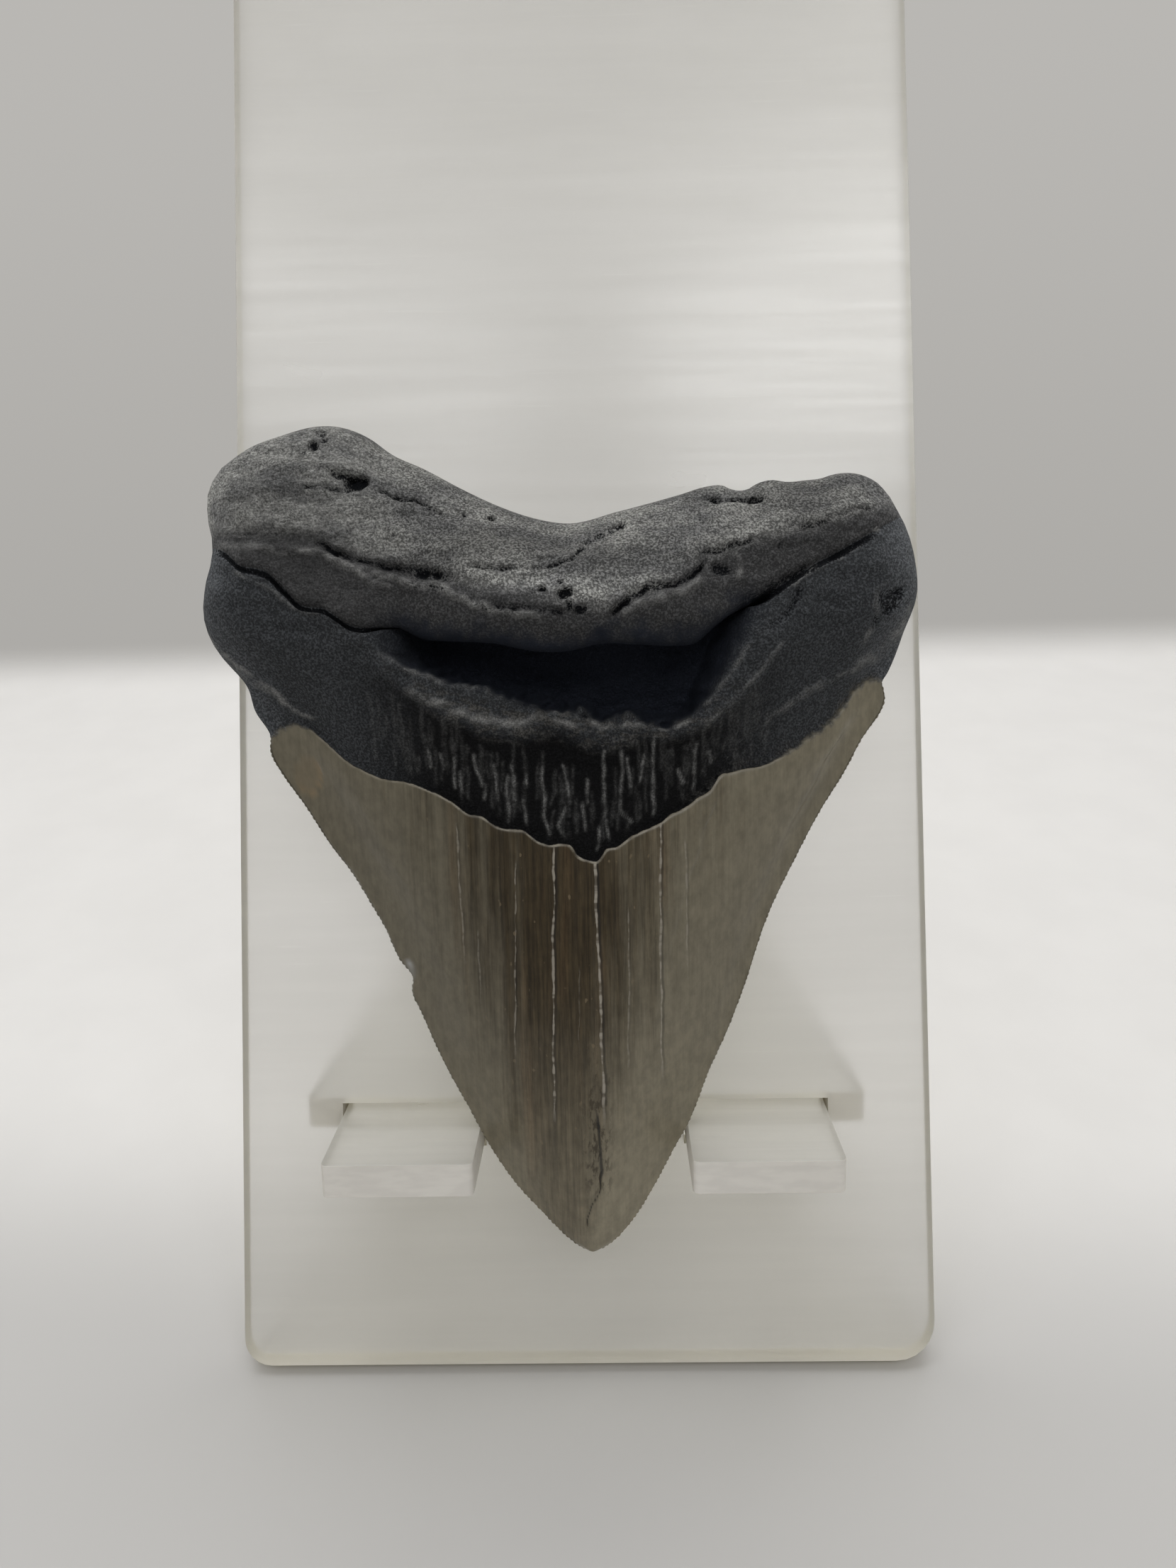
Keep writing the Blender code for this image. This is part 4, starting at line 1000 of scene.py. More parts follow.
def hairline_group():
    """One upright hairline: how pale it is, and how strong its shadow is."""
    tree = bpy.data.node_groups.new("hairline crack", "ShaderNodeTree")
    given, out = sockets(
        tree,
        [
            ("Place", "NodeSocketVector", None),
            ("Middle X", "NodeSocketFloat", 0.0),
            ("Lean", "NodeSocketFloat", 0.0),
            ("Width", "NodeSocketFloat", 0.14),
            ("Low", "NodeSocketFloat", 20.0),
            ("High", "NodeSocketFloat", 60.0),
            ("Strength", "NodeSocketFloat", 1.0),
            ("Seed", "NodeSocketFloat", 0.0),
        ],
        [("Pale", "NodeSocketFloat"), ("Shadow", "NodeSocketFloat")],
    )
    x, _, height = put(tree, "ShaderNodeSeparateXYZ", {0: given["Place"]}).outputs
    along = put(tree, "ShaderNodeCombineXYZ", {0: given["Seed"], 2: height}).outputs[0]
    wander = stretched_noise(tree, along, EVENLY, 7.0, 3.0, 0.6)
    above = calc(tree, "SUBTRACT", height, HAIR_MIDDLE)
    middle = calc(tree, "MULTIPLY_ADD", above, given["Lean"], given["Middle X"])
    middle = calc(tree, "MULTIPLY_ADD", calc(tree, "SUBTRACT", wander, 0.5), 1.0, middle)
    offset = calc(tree, "SUBTRACT", x, middle)
    uneven = ramp(tree, stretched_noise(tree, along, EVENLY, 2.2), 0.35, 0.7, 0.55, 1.5)
    thick = calc(tree, "MULTIPLY", given["Width"], uneven)
    away = calc(tree, "DIVIDE", calc(tree, "ABSOLUTE", offset), thick)
    line = ramp(tree, away, 0.55, 1.35, 1.0, 0.0)
    ends = calc(
        tree,
        "MULTIPLY",
        ramp(tree, calc(tree, "SUBTRACT", height, given["Low"]), 0.0, 7.0),
        ramp(tree, calc(tree, "SUBTRACT", given["High"], height), 0.0, 1.5),
    )
    broken = ramp(tree, stretched_noise(tree, along, EVENLY, 1.1, 2.0), 0.38, 0.55, 0.25, 1.0)
    strong = calc(tree, "MULTIPLY", ends, given["Strength"])
    tree.links.new(calc(tree, "MULTIPLY", line, calc(tree, "MULTIPLY", strong, broken)), out["Pale"])
    to_shadow = calc(tree, "MULTIPLY", given["Width"], SHADOW_OFFSET)
    beside = calc(tree, "DIVIDE", calc(tree, "SUBTRACT", offset, to_shadow), given["Width"])
    shade = ramp(tree, calc(tree, "ABSOLUTE", beside), 0.0, 2.4, 1.0, 0.0)
    tree.links.new(calc(tree, "MULTIPLY", shade, strong), out["Shadow"])
    return tree


hairline = hairline_group()
HAIR_INPUTS = ("Middle X", "Lean", "Width", "Low", "High", "Strength", "Seed")
HAIRLINES = [  # in that order, up to the strength
    (-16.85, -0.03, 0.11, 40.0, 61.5, 0.45),
    (-14.75, 0.01, 0.10, 34.0, 47.0, 0.3),
    (-9.6, 0.03, 0.09, 27.0, 56.5, 0.5),
    (-4.35, 0.02, 0.13, 18.0, 58.3, 0.85),
    (1.55, -0.02, 0.14, 18.0, 56.8, 1.0),
    (10.1, 0.0, 0.12, 23.0, 61.5, 0.8),
    (5.7, 0.01, 0.09, 24.0, 50.0, 0.4),
    (13.7, -0.01, 0.10, 38.0, 59.0, 0.5),
    (-0.9, 0.02, 0.08, 28.0, 42.0, 0.2),
]
print(len(HAIRLINES), "hairlines")

# %% [markdown]
# ## Grain
#
# Fossil bone isn't smooth: it's made of grains about a third of a millimetre across, light and
# dark, that also stand up a little. One group puts out both, a brightness and a height, so the
# light grains are the high ones and the dark grains the low ones.

# %% The grain group
def grain_group():
    """Fine and coarse grain: a brightness around 1, and a height from 0 to 1."""
    tree = bpy.data.node_groups.new("bone grain", "ShaderNodeTree")
    given, out = sockets(
        tree,
        [
            ("Place", "NodeSocketVector", None),
            ("Grain Size", "NodeSocketFloat", 0.4),
            ("Contrast", "NodeSocketFloat", 0.4),
            ("Streaks", "NodeSocketFloat", 0.0),
        ],
        [("Brightness", "NodeSocketFloat"), ("Height", "NodeSocketFloat")],
    )
    scale = calc(tree, "DIVIDE", 1.0, given["Grain Size"])
    fine = put(
        tree,
        "ShaderNodeTexNoise",
        {"Vector": given["Place"], "Scale": scale, "Detail": 3.0, "Roughness": 0.7},
    ).outputs["Fac"]
    coarse = stretched_noise(tree, given["Place"], EVENLY, 1.3, 2.0)
    streaky = stretched_noise(tree, given["Place"], (0.5, 1, 1.2), 0.55, 3.0, 0.65)
    speck = ramp(tree, fine, 0.4, 0.6)
    speck = calc(tree, "ADD", calc(tree, "MULTIPLY", speck, 0.75), calc(tree, "MULTIPLY", coarse, 0.25))
    speck = calc(tree, "ADD", speck, ramp(tree, fine, 0.6, 0.72, 0.0, 0.45))
    mixed = between(tree, given["Streaks"], speck, ramp(tree, streaky, 0.3, 0.7))
    swing = calc(tree, "MULTIPLY", calc(tree, "SUBTRACT", mixed, 0.5), given["Contrast"])
    tree.links.new(calc(tree, "MULTIPLY_ADD", swing, 2.0, 1.0), out["Brightness"])
    tree.links.new(mixed, out["Height"])
    return tree


grain = grain_group()
print("groups:", [group.name for group in bpy.data.node_groups])

# %% [markdown]
# ## The fossil material
#
# One material covers the whole tooth, because it is one thing, and each part of it takes its look
# from the values that the mesh keeps. The root is dark grey and granular. Its top is painted lighter
# than its front: partly worn bone, partly painted light from above, with painted shade on the front.
# Its cracks and the hollow are painted almost black, as painted shade. The band below it is black
# with grey ridges. The crown is olive grey at its sides and brown in the middle, with a pale line
# where the enamel's broken edge shows.

# %% The fossil's colours
CROWN_SIDE = (0.148, 0.132, 0.095)
CROWN_MIDDLE = (0.046, 0.034, 0.018)
CROWN_STREAK = (0.029, 0.021, 0.012)
CROWN_RUST = (0.090, 0.056, 0.027)
CHIP_TAN = (0.24, 0.185, 0.115)
ENAMEL_EDGE = (0.25, 0.225, 0.175)
HAIR_PALE = (0.34, 0.31, 0.26)
# The root's top is painted lighter than its front and flank: partly worn bone, partly painted light from
# above on the top and painted shade on the front and flank.
LIT_TOP_LESS_WORN = (0.150, 0.151, 0.150)
LIT_TOP_WORN = (0.275, 0.275, 0.263)
DARK_SHADED_FLANK = (0.062, 0.066, 0.071)
DARK_SHADED_FRONT = (0.066, 0.066, 0.067)
# Painted shade in cracks and pits, and beside each hairline.
RECESS_SHADE_BLACK = (0.009, 0.010, 0.012)
# Painted shade of the hollow under the ledge.
HOLLOW_SHADE_BLACK = (0.022, 0.026, 0.037)
BAND_BLACK = (0.006, 0.006, 0.0065)
RIDGE_GREY = (0.37, 0.37, 0.36)
LIP_GREY = (0.095, 0.092, 0.086)


def read(tree, name):
    """One of the values that the tooth's mesh keeps."""
    return put(tree, "ShaderNodeAttribute", attribute_name=name).outputs["Fac"]


print("the crown's middle is", round(sum(CROWN_SIDE) / sum(CROWN_MIDDLE), 1), "times as dark as its sides")

# %% The crown
BROWN_X = -3.7  # the middle of the brown
BROWN_HALF_WIDTH = (0.24, 2.4)  # for each millimetre of height, and at the tip
# Each of these goes from one place to another, and then says how much there is at each.
BROWN_BY_HEIGHT = (4.0, 44.0, 0.45, 1.0)
PALER_LOW = (0.0, 42.0, 1.5, 1.02)
PALER_HIGH = (62.0, 76.0, 1.0, 1.14)
PALER_RIGHT = (-18.0, 14.0, 1.0, 1.27)
SPECKS_X = 1.0
SPECKS_ASIDE = (0.5, 3.0, 1.0, 0.0)
SPECKS_BEGIN = (6.0, 13.0, 0.0, 1.0)
SPECKS_END = (20.0, 36.0, 1.0, 0.0)


def crown_look(tree, place, x, height, enamel, corner):
    """Colour of the crown, and how much of a hairline is at each place."""
    # The brown middle, which widens upwards and has a combed edge.
    half_width = calc(tree, "MULTIPLY_ADD", height, *BROWN_HALF_WIDTH)
    across = calc(tree, "DIVIDE", calc(tree, "SUBTRACT", x, BROWN_X), half_width)
    soft = stretched_noise(tree, place, (1, 0, 0.12), 7.0, 3.0)
    across = calc(tree, "ADD", calc(tree, "ABSOLUTE", across), calc(tree, "MULTIPLY_ADD", soft, 0.9, -0.45))
    fine = stretched_noise(tree, place, (1, 0, 0.05), 1.6, 3.0, 0.6)
    across = calc(tree, "ADD", across, calc(tree, "MULTIPLY_ADD", fine, 1.4, -0.7))
    middle = ramp(tree, across, 0.2, 1.5, 1.0, 0.0)
    middle = calc(tree, "MULTIPLY", middle, ramp(tree, height, *BROWN_BY_HEIGHT))
    # Dark and rusty streaks in it.
    streaks = ramp(tree, stretched_noise(tree, place, (1, 0, 0.07), 0.9, 4.0, 0.7), 0.38, 0.66)
    rust = ramp(tree, stretched_noise(tree, place, (1, 0, 0.1), 3.2, 2.0), 0.5, 0.72)
    colour = blend(tree, calc(tree, "MULTIPLY", streaks, 0.75), CROWN_MIDDLE, CROWN_STREAK)
    colour = blend(tree, calc(tree, "MULTIPLY", rust, 0.6), colour, CROWN_RUST)
    colour = blend(tree, middle, CROWN_SIDE, colour)
    # What makes it paler or darker by a share: mottling, combed streaks, and slow changes over it.
    mottle = stretched_noise(tree, place, (1, 1, 0.6), 1.3, 4.0, 0.65)
    combed = ramp(tree, stretched_noise(tree, place, (1, 0, 0.045), 0.5, 4.0, 0.7), 0.3, 0.7, -0.34, 0.34)
    paler = (
        calc(tree, "MULTIPLY_ADD", combed, calc(tree, "ADD", middle, 0.2), 1.0),
        ramp(tree, mottle, 0.25, 0.75, 0.84, 1.16),
        ramp(tree, height, *PALER_LOW),
        ramp(tree, height, *PALER_HIGH),
        ramp(tree, x, *PALER_RIGHT),
    )
    for share in paler:
        colour = blend(tree, 1.0, colour, share, "MULTIPLY")
    # Dark specks beside the crack near the tip.
    specks = ramp(tree, stretched_noise(tree, place, (1, 1, 0.35), 0.7, 3.0, 0.6), 0.5, 0.62)
    aside = calc(tree, "ABSOLUTE", calc(tree, "SUBTRACT", x, SPECKS_X))
    for share in (
        ramp(tree, aside, *SPECKS_ASIDE),
        ramp(tree, height, *SPECKS_BEGIN),
        ramp(tree, height, *SPECKS_END),
    ):
        specks = calc(tree, "MULTIPLY", specks, share)
    colour = blend(tree, calc(tree, "MULTIPLY", specks, 0.7), colour, CROWN_STREAK)
    # Small pale flecks in the middle, the tan scar of the chip, and the hairlines.
    flecks = ramp(tree, stretched_noise(tree, place, (1, 1, 0.6), 0.9, 1.0), 0.72, 0.78)
    flecks = calc(tree, "MULTIPLY", flecks, calc(tree, "MULTIPLY", middle, 0.5))
    colour = blend(tree, flecks, colour, CHIP_TAN)
    colour = blend(tree, calc(tree, "MULTIPLY", read(tree, "chip"), 0.85), colour, CHIP_TAN)
    pale = shadow = 0.0
    for number, numbers in enumerate(HAIRLINES):
        hair = tree.nodes.new("ShaderNodeGroup")
        hair.node_tree = hairline
        tree.links.new(place, hair.inputs["Place"])
        for name, value in zip(HAIR_INPUTS, (*numbers, number * 9.0)):
            hair.inputs[name].default_value = value
        pale = calc(tree, "MAXIMUM", pale, hair.outputs["Pale"])
        shadow = calc(tree, "MAXIMUM", shadow, hair.outputs["Shadow"])
    colour = blend(tree, calc(tree, "MULTIPLY", shadow, 0.55), colour, RECESS_SHADE_BLACK)
    colour = blend(tree, pale, colour, HAIR_PALE)
    # The pale broken edge of the enamel.
    wave = ramp(tree, stretched_noise(tree, place, (1, 0, 1), 1.4, 3.0), 0.35, 0.65, 0.15, 0.95)
    wave = calc(tree, "MULTIPLY", wave, calc(tree, "SUBTRACT", 1.0, corner))
    rim = calc(tree, "MULTIPLY", ramp(tree, enamel, 0.2, 0.42, 1.0, 0.0), wave)
    return blend(tree, rim, colour, ENAMEL_EDGE), pale


print("the brown is", BROWN_HALF_WIDTH[0] * 50 + BROWN_HALF_WIDTH[1], "mm to each side 50 mm above the tip")

# %% The root
GRAIN_SIZE = 0.31
GRAIN_CONTRAST = (0.65, 0.85)  # on the front, and on the worn top
STREAKY_LOBE = (-30.0, -22.0, 0.35, 0.05)
TOP_BEGINS = (-1.0, 2.6)  # heights above the fold
# Painted sheen along the rim of the root's two sides.
SHEEN_RIM_X = -4.5
SHEEN_RIM_ASIDE = (32.0, 46.0)
SHEEN_RIM_REACH = (0.0, 8.0, 1.0, 0.0)
BAND_X = -2.0
BAND_ASIDE = (16.0, 34.0, 1.0, 0.0)
BAND_ENDS = (1.8, 2.02, 1.0, 0.0)  # these four are stations
LIP_BEGINS, LIP_ENDS = (1.78, 1.95), (2.12, 2.3, 1.0, 0.0)
LIP_ASIDE = (14.0, 27.0, 1.0, 0.0)
DUST_NEAR_ENAMEL, DUST_TO_RIGHT = (-1.8, -0.3), (11.0, 18.0)


def root_look(tree, place, x, station, enamel, crack, pale, hollow):
    """Colour and height of the root's grain, and of the band and the lip below it."""
    grained = tree.nodes.new("ShaderNodeGroup")
    grained.node_tree = grain
    tree.links.new(place, grained.inputs["Place"])
    grained.inputs["Grain Size"].default_value = GRAIN_SIZE
    # The left lobe's grain is drawn out into streaks.
    left_lobe = calc(tree, "MULTIPLY", ramp(tree, x, *STREAKY_LOBE), ramp(tree, station, 3.9, 4.1))
    tree.links.new(left_lobe, grained.inputs["Streaks"])
    # The top begins at the fold, with a patchy edge, and its grain shows more. It is painted lighter than the
    # front: partly worn bone, partly painted light on the upward-facing top, with painted shade on the front.
    patches = stretched_noise(tree, place, (0.6, 1, 1.4), 2.6, 4.0, 0.6)
    above_fold = calc(tree, "ADD", read(tree, "fold_mm"), calc(tree, "MULTIPLY_ADD", patches, 3.6, -1.8))
    top = ramp(tree, above_fold, *TOP_BEGINS)
    tree.links.new(ramp(tree, top, 0.0, 1.0, *GRAIN_CONTRAST), grained.inputs["Contrast"])
    front = blend(tree, ramp(tree, station, 3.9, 4.0), DARK_SHADED_FLANK, DARK_SHADED_FRONT)
    # Painted sheen: the rim is paler at both sides, where light grazes the root's edges.
    side = ramp(tree, calc(tree, "ABSOLUTE", calc(tree, "SUBTRACT", x, SHEEN_RIM_X)), *SHEEN_RIM_ASIDE)
    rim = calc(tree, "MULTIPLY", ramp(tree, read(tree, "inside_mm"), *SHEEN_RIM_REACH), side)
    rim_sheen = calc(tree, "ADD", rim, 1.0)
    wear = stretched_noise(tree, place, (0.5, 1, 1), 4.5, 3.0, 0.6)
    lit_worn_top = blend(tree, ramp(tree, wear, 0.35, 0.65), LIT_TOP_LESS_WORN, LIT_TOP_WORN)
    colour = blend(tree, top, front, lit_worn_top)
    colour = blend(tree, 1.0, colour, rim_sheen, "MULTIPLY")
    colour = blend(tree, 1.0, colour, read(tree, "patch_brightness"), "MULTIPLY")
    # The dark band fades out to both sides and ends at the lip, which is grey in places.
    aside = calc(tree, "ABSOLUTE", calc(tree, "SUBTRACT", x, BAND_X))
    band = calc(tree, "MULTIPLY", ramp(tree, aside, *BAND_ASIDE), ramp(tree, station, *BAND_ENDS))
    colour = blend(tree, band, colour, BAND_BLACK)
    rough = ramp(tree, stretched_noise(tree, place, (0.8, 1, 1.5), 1.6, 4.0, 0.65), 0.44, 0.6)
    lip = calc(tree, "MULTIPLY", ramp(tree, station, *LIP_BEGINS), ramp(tree, station, *LIP_ENDS))
    lip = calc(tree, "MULTIPLY", lip, ramp(tree, aside, *LIP_ASIDE))
    colour = blend(tree, calc(tree, "MULTIPLY", calc(tree, "MULTIPLY", lip, rough), 0.85), colour, LIP_GREY)
    # Grey dust along the enamel's edge on the right.
    dust = calc(tree, "MULTIPLY", ramp(tree, enamel, *DUST_NEAR_ENAMEL), ramp(tree, x, *DUST_TO_RIGHT))
    colour = blend(tree, calc(tree, "MULTIPLY", calc(tree, "MULTIPLY", dust, rough), 0.5), colour, LIP_GREY)
    # Grain over all of it, then the pale ridges with their painted highlights, and the painted shade of the
    # cracks and the hollow.
    colour = blend(tree, 1.0, colour, grained.outputs["Brightness"], "MULTIPLY")
    grainy = calc(tree, "MULTIPLY", pale, ramp(tree, grained.outputs["Height"], 0.2, 0.6, 0.45, 1.0))
    colour = blend(tree, grainy, colour, RIDGE_GREY)
    frayed = calc(tree, "ADD", crack, calc(tree, "MULTIPLY_ADD", grained.outputs["Height"], -0.7, 0.35))
    colour = blend(tree, ramp(tree, frayed, 0.3, 0.85), colour, RECESS_SHADE_BLACK)
    colour = blend(tree, hollow, colour, HOLLOW_SHADE_BLACK)
    return colour, grained.outputs["Height"], band


print("the root's grains are", GRAIN_SIZE, "mm across")

# %% The fossil material
ENAMEL_GLOSS = 0.45
ENAMEL_ROUGH = (0.16, 0.25)  # how much it varies, and the least of it
HAIR_ROUGH = 0.3  # a hairline is this much rougher
BONE_ROUGH, BAND_ROUGH = 0.82, 0.52
RIGHT_CORNER, LEFT_CORNER = (24.0, 33.0), (-42.0, -37.0, 1.0, 0.0)  # where the crown's edge is blurred
RELIEF_DEPTH = 0.25
KNOB_SHARE, STREAK_SHARE = 2.4, 0.12  # heights of the root's knobs and the crown's streaks, in grains


def fossil_tree(tree):
    """The whole tooth: the crown, the root, and the torn line where one gives way to the other."""
    tree.nodes.clear()
    place = put(tree, "ShaderNodeAttribute", attribute_name="tooth_mm").outputs["Vector"]
    x, _, height = put(tree, "ShaderNodeSeparateXYZ", {0: place}).outputs
    station, enamel, crack = (read(tree, name) for name in ("station", "enamel_mm", "crack"))
    pale, hollow = read(tree, "pale"), read(tree, "hollow")
    corner = calc(tree, "MAXIMUM", ramp(tree, x, *RIGHT_CORNER), ramp(tree, x, *LEFT_CORNER))
    crown, hairs = crown_look(tree, place, x, height, enamel, corner)
    # Painted shade in the crack near the tip.
    crown = blend(tree, ramp(tree, crack, 0.3, 1.0, 0.0, 0.75), crown, RECESS_SHADE_BLACK)
    crown = blend(tree, pale, crown, RIDGE_GREY)
    root, grain_height, band = root_look(tree, place, x, station, enamel, crack, pale, hollow)
    torn = calc(tree, "MULTIPLY_ADD", stretched_noise(tree, place, EVENLY, 1.2, 3.0), 2.4, -1.2)
    edge = calc(tree, "MULTIPLY_ADD", torn, calc(tree, "MULTIPLY_ADD", corner, 0.75, 0.15), enamel)
    softness = calc(tree, "MULTIPLY_ADD", corner, 0.6, 0.06)
    on_crown = ramp(tree, calc(tree, "DIVIDE", edge, softness), -1.0, 1.0)
    colour = blend(tree, on_crown, root, crown)
    gloss = stretched_noise(tree, place, (1, 1, 0.2), 3.0, 3.0)
    crown_rough = calc(tree, "MULTIPLY_ADD", gloss, *ENAMEL_ROUGH)
    crown_rough = calc(tree, "ADD", crown_rough, calc(tree, "MULTIPLY", hairs, HAIR_ROUGH))
    root_rough = ramp(tree, band, 0.0, 1.0, BONE_ROUGH, BAND_ROUGH)
    rough = between(tree, on_crown, root_rough, crown_rough)
    off_crown = calc(tree, "SUBTRACT", 1.0, on_crown)
    relief = calc(tree, "MULTIPLY", grain_height, off_crown)
    knobs = stretched_noise(tree, place, (0.7, 1, 1.3), 1.4, 4.0, 0.65)
    relief = calc(tree, "MULTIPLY_ADD", calc(tree, "MULTIPLY", knobs, off_crown), KNOB_SHARE, relief)
    streak = stretched_noise(tree, place, (1, 0, 0.06), 0.9, 2.0)
    relief = calc(tree, "MULTIPLY_ADD", calc(tree, "MULTIPLY", streak, on_crown), STREAK_SHARE, relief)
    bump = put(tree, "ShaderNodeBump", {"Height": relief, "Strength": 0.9, "Distance": RELIEF_DEPTH * MM})
    shader = put(
        tree,
        "ShaderNodeBsdfPrincipled",
        {
            "Base Color": colour,
            "Roughness": rough,
            "Normal": bump.outputs[0],
            "Specular IOR Level": 0.1,
            "Coat Weight": calc(tree, "MULTIPLY", on_crown, ENAMEL_GLOSS),
            "Coat Roughness": 0.28,
            "Coat IOR": 1.5,
        },
    )
    tree.links.new(shader.outputs[0], tree.nodes.new("ShaderNodeOutputMaterial").inputs["Surface"])


fossil.use_nodes = True
fossil_tree(fossil.node_tree)
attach(tooth, "root")
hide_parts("tooth")
print("the fossil material has", len(fossil.node_tree.nodes), "nodes")

# %% [markdown]
# ## Clear acrylic
#
# Acrylic bends light as much as glass does. Handling leaves it faintly hazy, so what lies behind
# it is softened, more so the further behind it is, and wiping leaves streaks in its shine. The
# slight yellow is in the body of the sheet, not on its surface: it's a volume that absorbs a little
# blue, and it shows most where one looks along the sheet. For shadows the sheet is see-through,
# because it hardly blocks light. The prop is a shade milkier than the panel, and both are a little
# paler near the table, where they are rubbed most. A cut edge is another surface again: the saw
# leaves it matt, so it catches light instead of letting it through.

# %% Acrylic
HAZE = 0.30
PANEL_CLEAR = 0.9
PROP_CLEAR = 0.74  # the prop is handled more
BODY_TINT = (0.96, 0.955, 0.87)
BODY_DENSITY = 60.0
SHADOW_TINT = (0.79, 0.785, 0.765)
ACRYLIC_IOR = 1.49
SHINE_ROUGH = 0.17
WIPED = (0.45, 1.0)  # how much of its shine a sheet has between the wiping streaks, and in them
SMEARED = (0.838, 0.832, 0.829)
CLEAN = (0.888, 0.882, 0.884)
SCRATCHED = (0.96, 0.96, 0.955)
PALER_FOOT = (8.0, 75.0, 1.06, 1.0)  # how much paler a sheet is at one height than at the other


def finish_with_body(tree, surface):
    """Wire up the output: the surface, see-through for shadows, and the faintly yellow body inside it."""
    for_lamps = put(tree, "ShaderNodeBsdfTransparent", {"Color": (*SHADOW_TINT, 1.0)})
    is_shadow = tree.nodes.new("ShaderNodeLightPath").outputs["Is Shadow Ray"]
    either = put(tree, "ShaderNodeMixShader", {0: is_shadow, 1: surface, 2: for_lamps.outputs[0]})
    tint = {"Color": (*BODY_TINT, 1.0), "Density": BODY_DENSITY}
    body = put(tree, "ShaderNodeVolumeAbsorption", tint)
    output = tree.nodes.new("ShaderNodeOutputMaterial")
    tree.links.new(either.outputs[0], output.inputs["Surface"])
    tree.links.new(body.outputs[0], output.inputs["Volume"])


def in_millimetres(tree):
    """The piece's own place, in millimetres."""
    place = put(tree, "ShaderNodeTexCoord").outputs["Object"]
    return put(tree, "ShaderNodeVectorMath", {0: place, "Scale": 1 / MM}, operation="SCALE").outputs[0]


def scuffed_acrylic(name, clear):
    """Clear acrylic that has been handled. What isn't clear of it is the milky bloom of fine scuffs."""
    material, tree = new_material(name)
    place = in_millimetres(tree)
    smears = stretched_noise(tree, place, (0.35, 1, 1), 16.0, 4.0, 0.55)
    scratches = ramp(tree, stretched_noise(tree, place, (0.03, 1, 1), 0.5, 1.0), 0.72, 0.8)
    roughness = calc(tree, "MULTIPLY_ADD", smears, 0.12, HAZE - 0.06)
    wave = stretched_noise(tree, place, EVENLY, 45.0, 1.0)
    bump = put(tree, "ShaderNodeBump", {"Height": wave, "Strength": 0.12, "Distance": 1.0 * MM})
    tone = blend(tree, ramp(tree, smears, 0.3, 0.7), SMEARED, CLEAN)
    height = put(tree, "ShaderNodeSeparateXYZ", {0: place}).outputs["Z"]
    tone = blend(tree, 1.0, tone, ramp(tree, height, *PALER_FOOT), "MULTIPLY")
    wiped = ramp(tree, stretched_noise(tree, place, (0.05, 1, 1), 2.6, 4.0, 0.6), 0.3, 0.7, *WIPED)
    shader = put(
        tree,
        "ShaderNodeBsdfPrincipled",
        {
            "Base Color": blend(tree, calc(tree, "MULTIPLY", scratches, 0.5), tone, SCRATCHED),
            "Roughness": calc(tree, "MULTIPLY_ADD", scratches, 0.08, roughness),
            "IOR": ACRYLIC_IOR,
            "Transmission Weight": clear,
            "Coat Weight": wiped,
            "Coat Roughness": SHINE_ROUGH,
            "Coat IOR": ACRYLIC_IOR,
            "Normal": bump.outputs[0],
        },
    )
    finish_with_body(tree, shader.outputs[0])
    return material


panel_acrylic = scuffed_acrylic("clear acrylic", PANEL_CLEAR)
prop_acrylic = scuffed_acrylic("scuffed acrylic", PROP_CLEAR)
print("the panel is clear by", PANEL_CLEAR, "and the prop by", PROP_CLEAR)

# %% Sawn edges
PANEL_EDGE_CLEAR = 0.3
PROP_EDGE_CLEAR = 0.1
EDGE_IOR = 1.1  # a matt cut edge hardly mirrors anything, from outside or from inside the sheet
EDGE_DULL = (0.86, 0.83, 0.775)
EDGE_PALE = (0.92, 0.89, 0.83)


def sawn_edge(name, clear):
    """The cut edge of a sheet: the saw leaves it matt and milky, so it glows instead of being clear."""
    material, tree = new_material(name)
    saw_marks = stretched_noise(tree, in_millimetres(tree), (0.3, 1, 1), 1.2, 3.0)
    shader = put(
        tree,
        "ShaderNodeBsdfPrincipled",
        {
            "Base Color": blend(tree, ramp(tree, saw_marks, 0.35, 0.65), EDGE_DULL, EDGE_PALE),
            "Roughness": calc(tree, "MULTIPLY_ADD", saw_marks, 0.2, 0.4),
            "IOR": EDGE_IOR,
            "Transmission Weight": clear,
        },
    )
    finish_with_body(tree, shader.outputs[0])
    return material


panel_edge = sawn_edge("sawn acrylic edge", PANEL_EDGE_CLEAR)
prop_edge = sawn_edge("milky sawn edge", PROP_EDGE_CLEAR)
print("the sawn edges are clear by", PANEL_EDGE_CLEAR, "and", PROP_EDGE_CLEAR)

# %% [markdown]
# ## The clear stand
#
# Both sheets keep the measured shape. A sawn edge is never quite sharp, and that thin eased edge is
# what draws the light lines round a clear sheet. So each sheet is a copy of the measured one, merged
# into a closed mesh, with its sharp edges cut back by a third of a millimetre. A bevel leaves slivers
# at the corners and moves a big side's points by a hair, which shows as a pale line in its shine, so
# both are put right. The two big sides get the clear acrylic and all the rest the sawn edge.

# %% Clean copies of the sheets
SAME_POINT = 0.0005  # points of the measured sheet that are this close are one point
SLIVER = 0.002  # a face thinner than this is merged away
FACES_SQUARE = 0.999  # how nearly a face has to point the way that a big side does, 1 being exactly


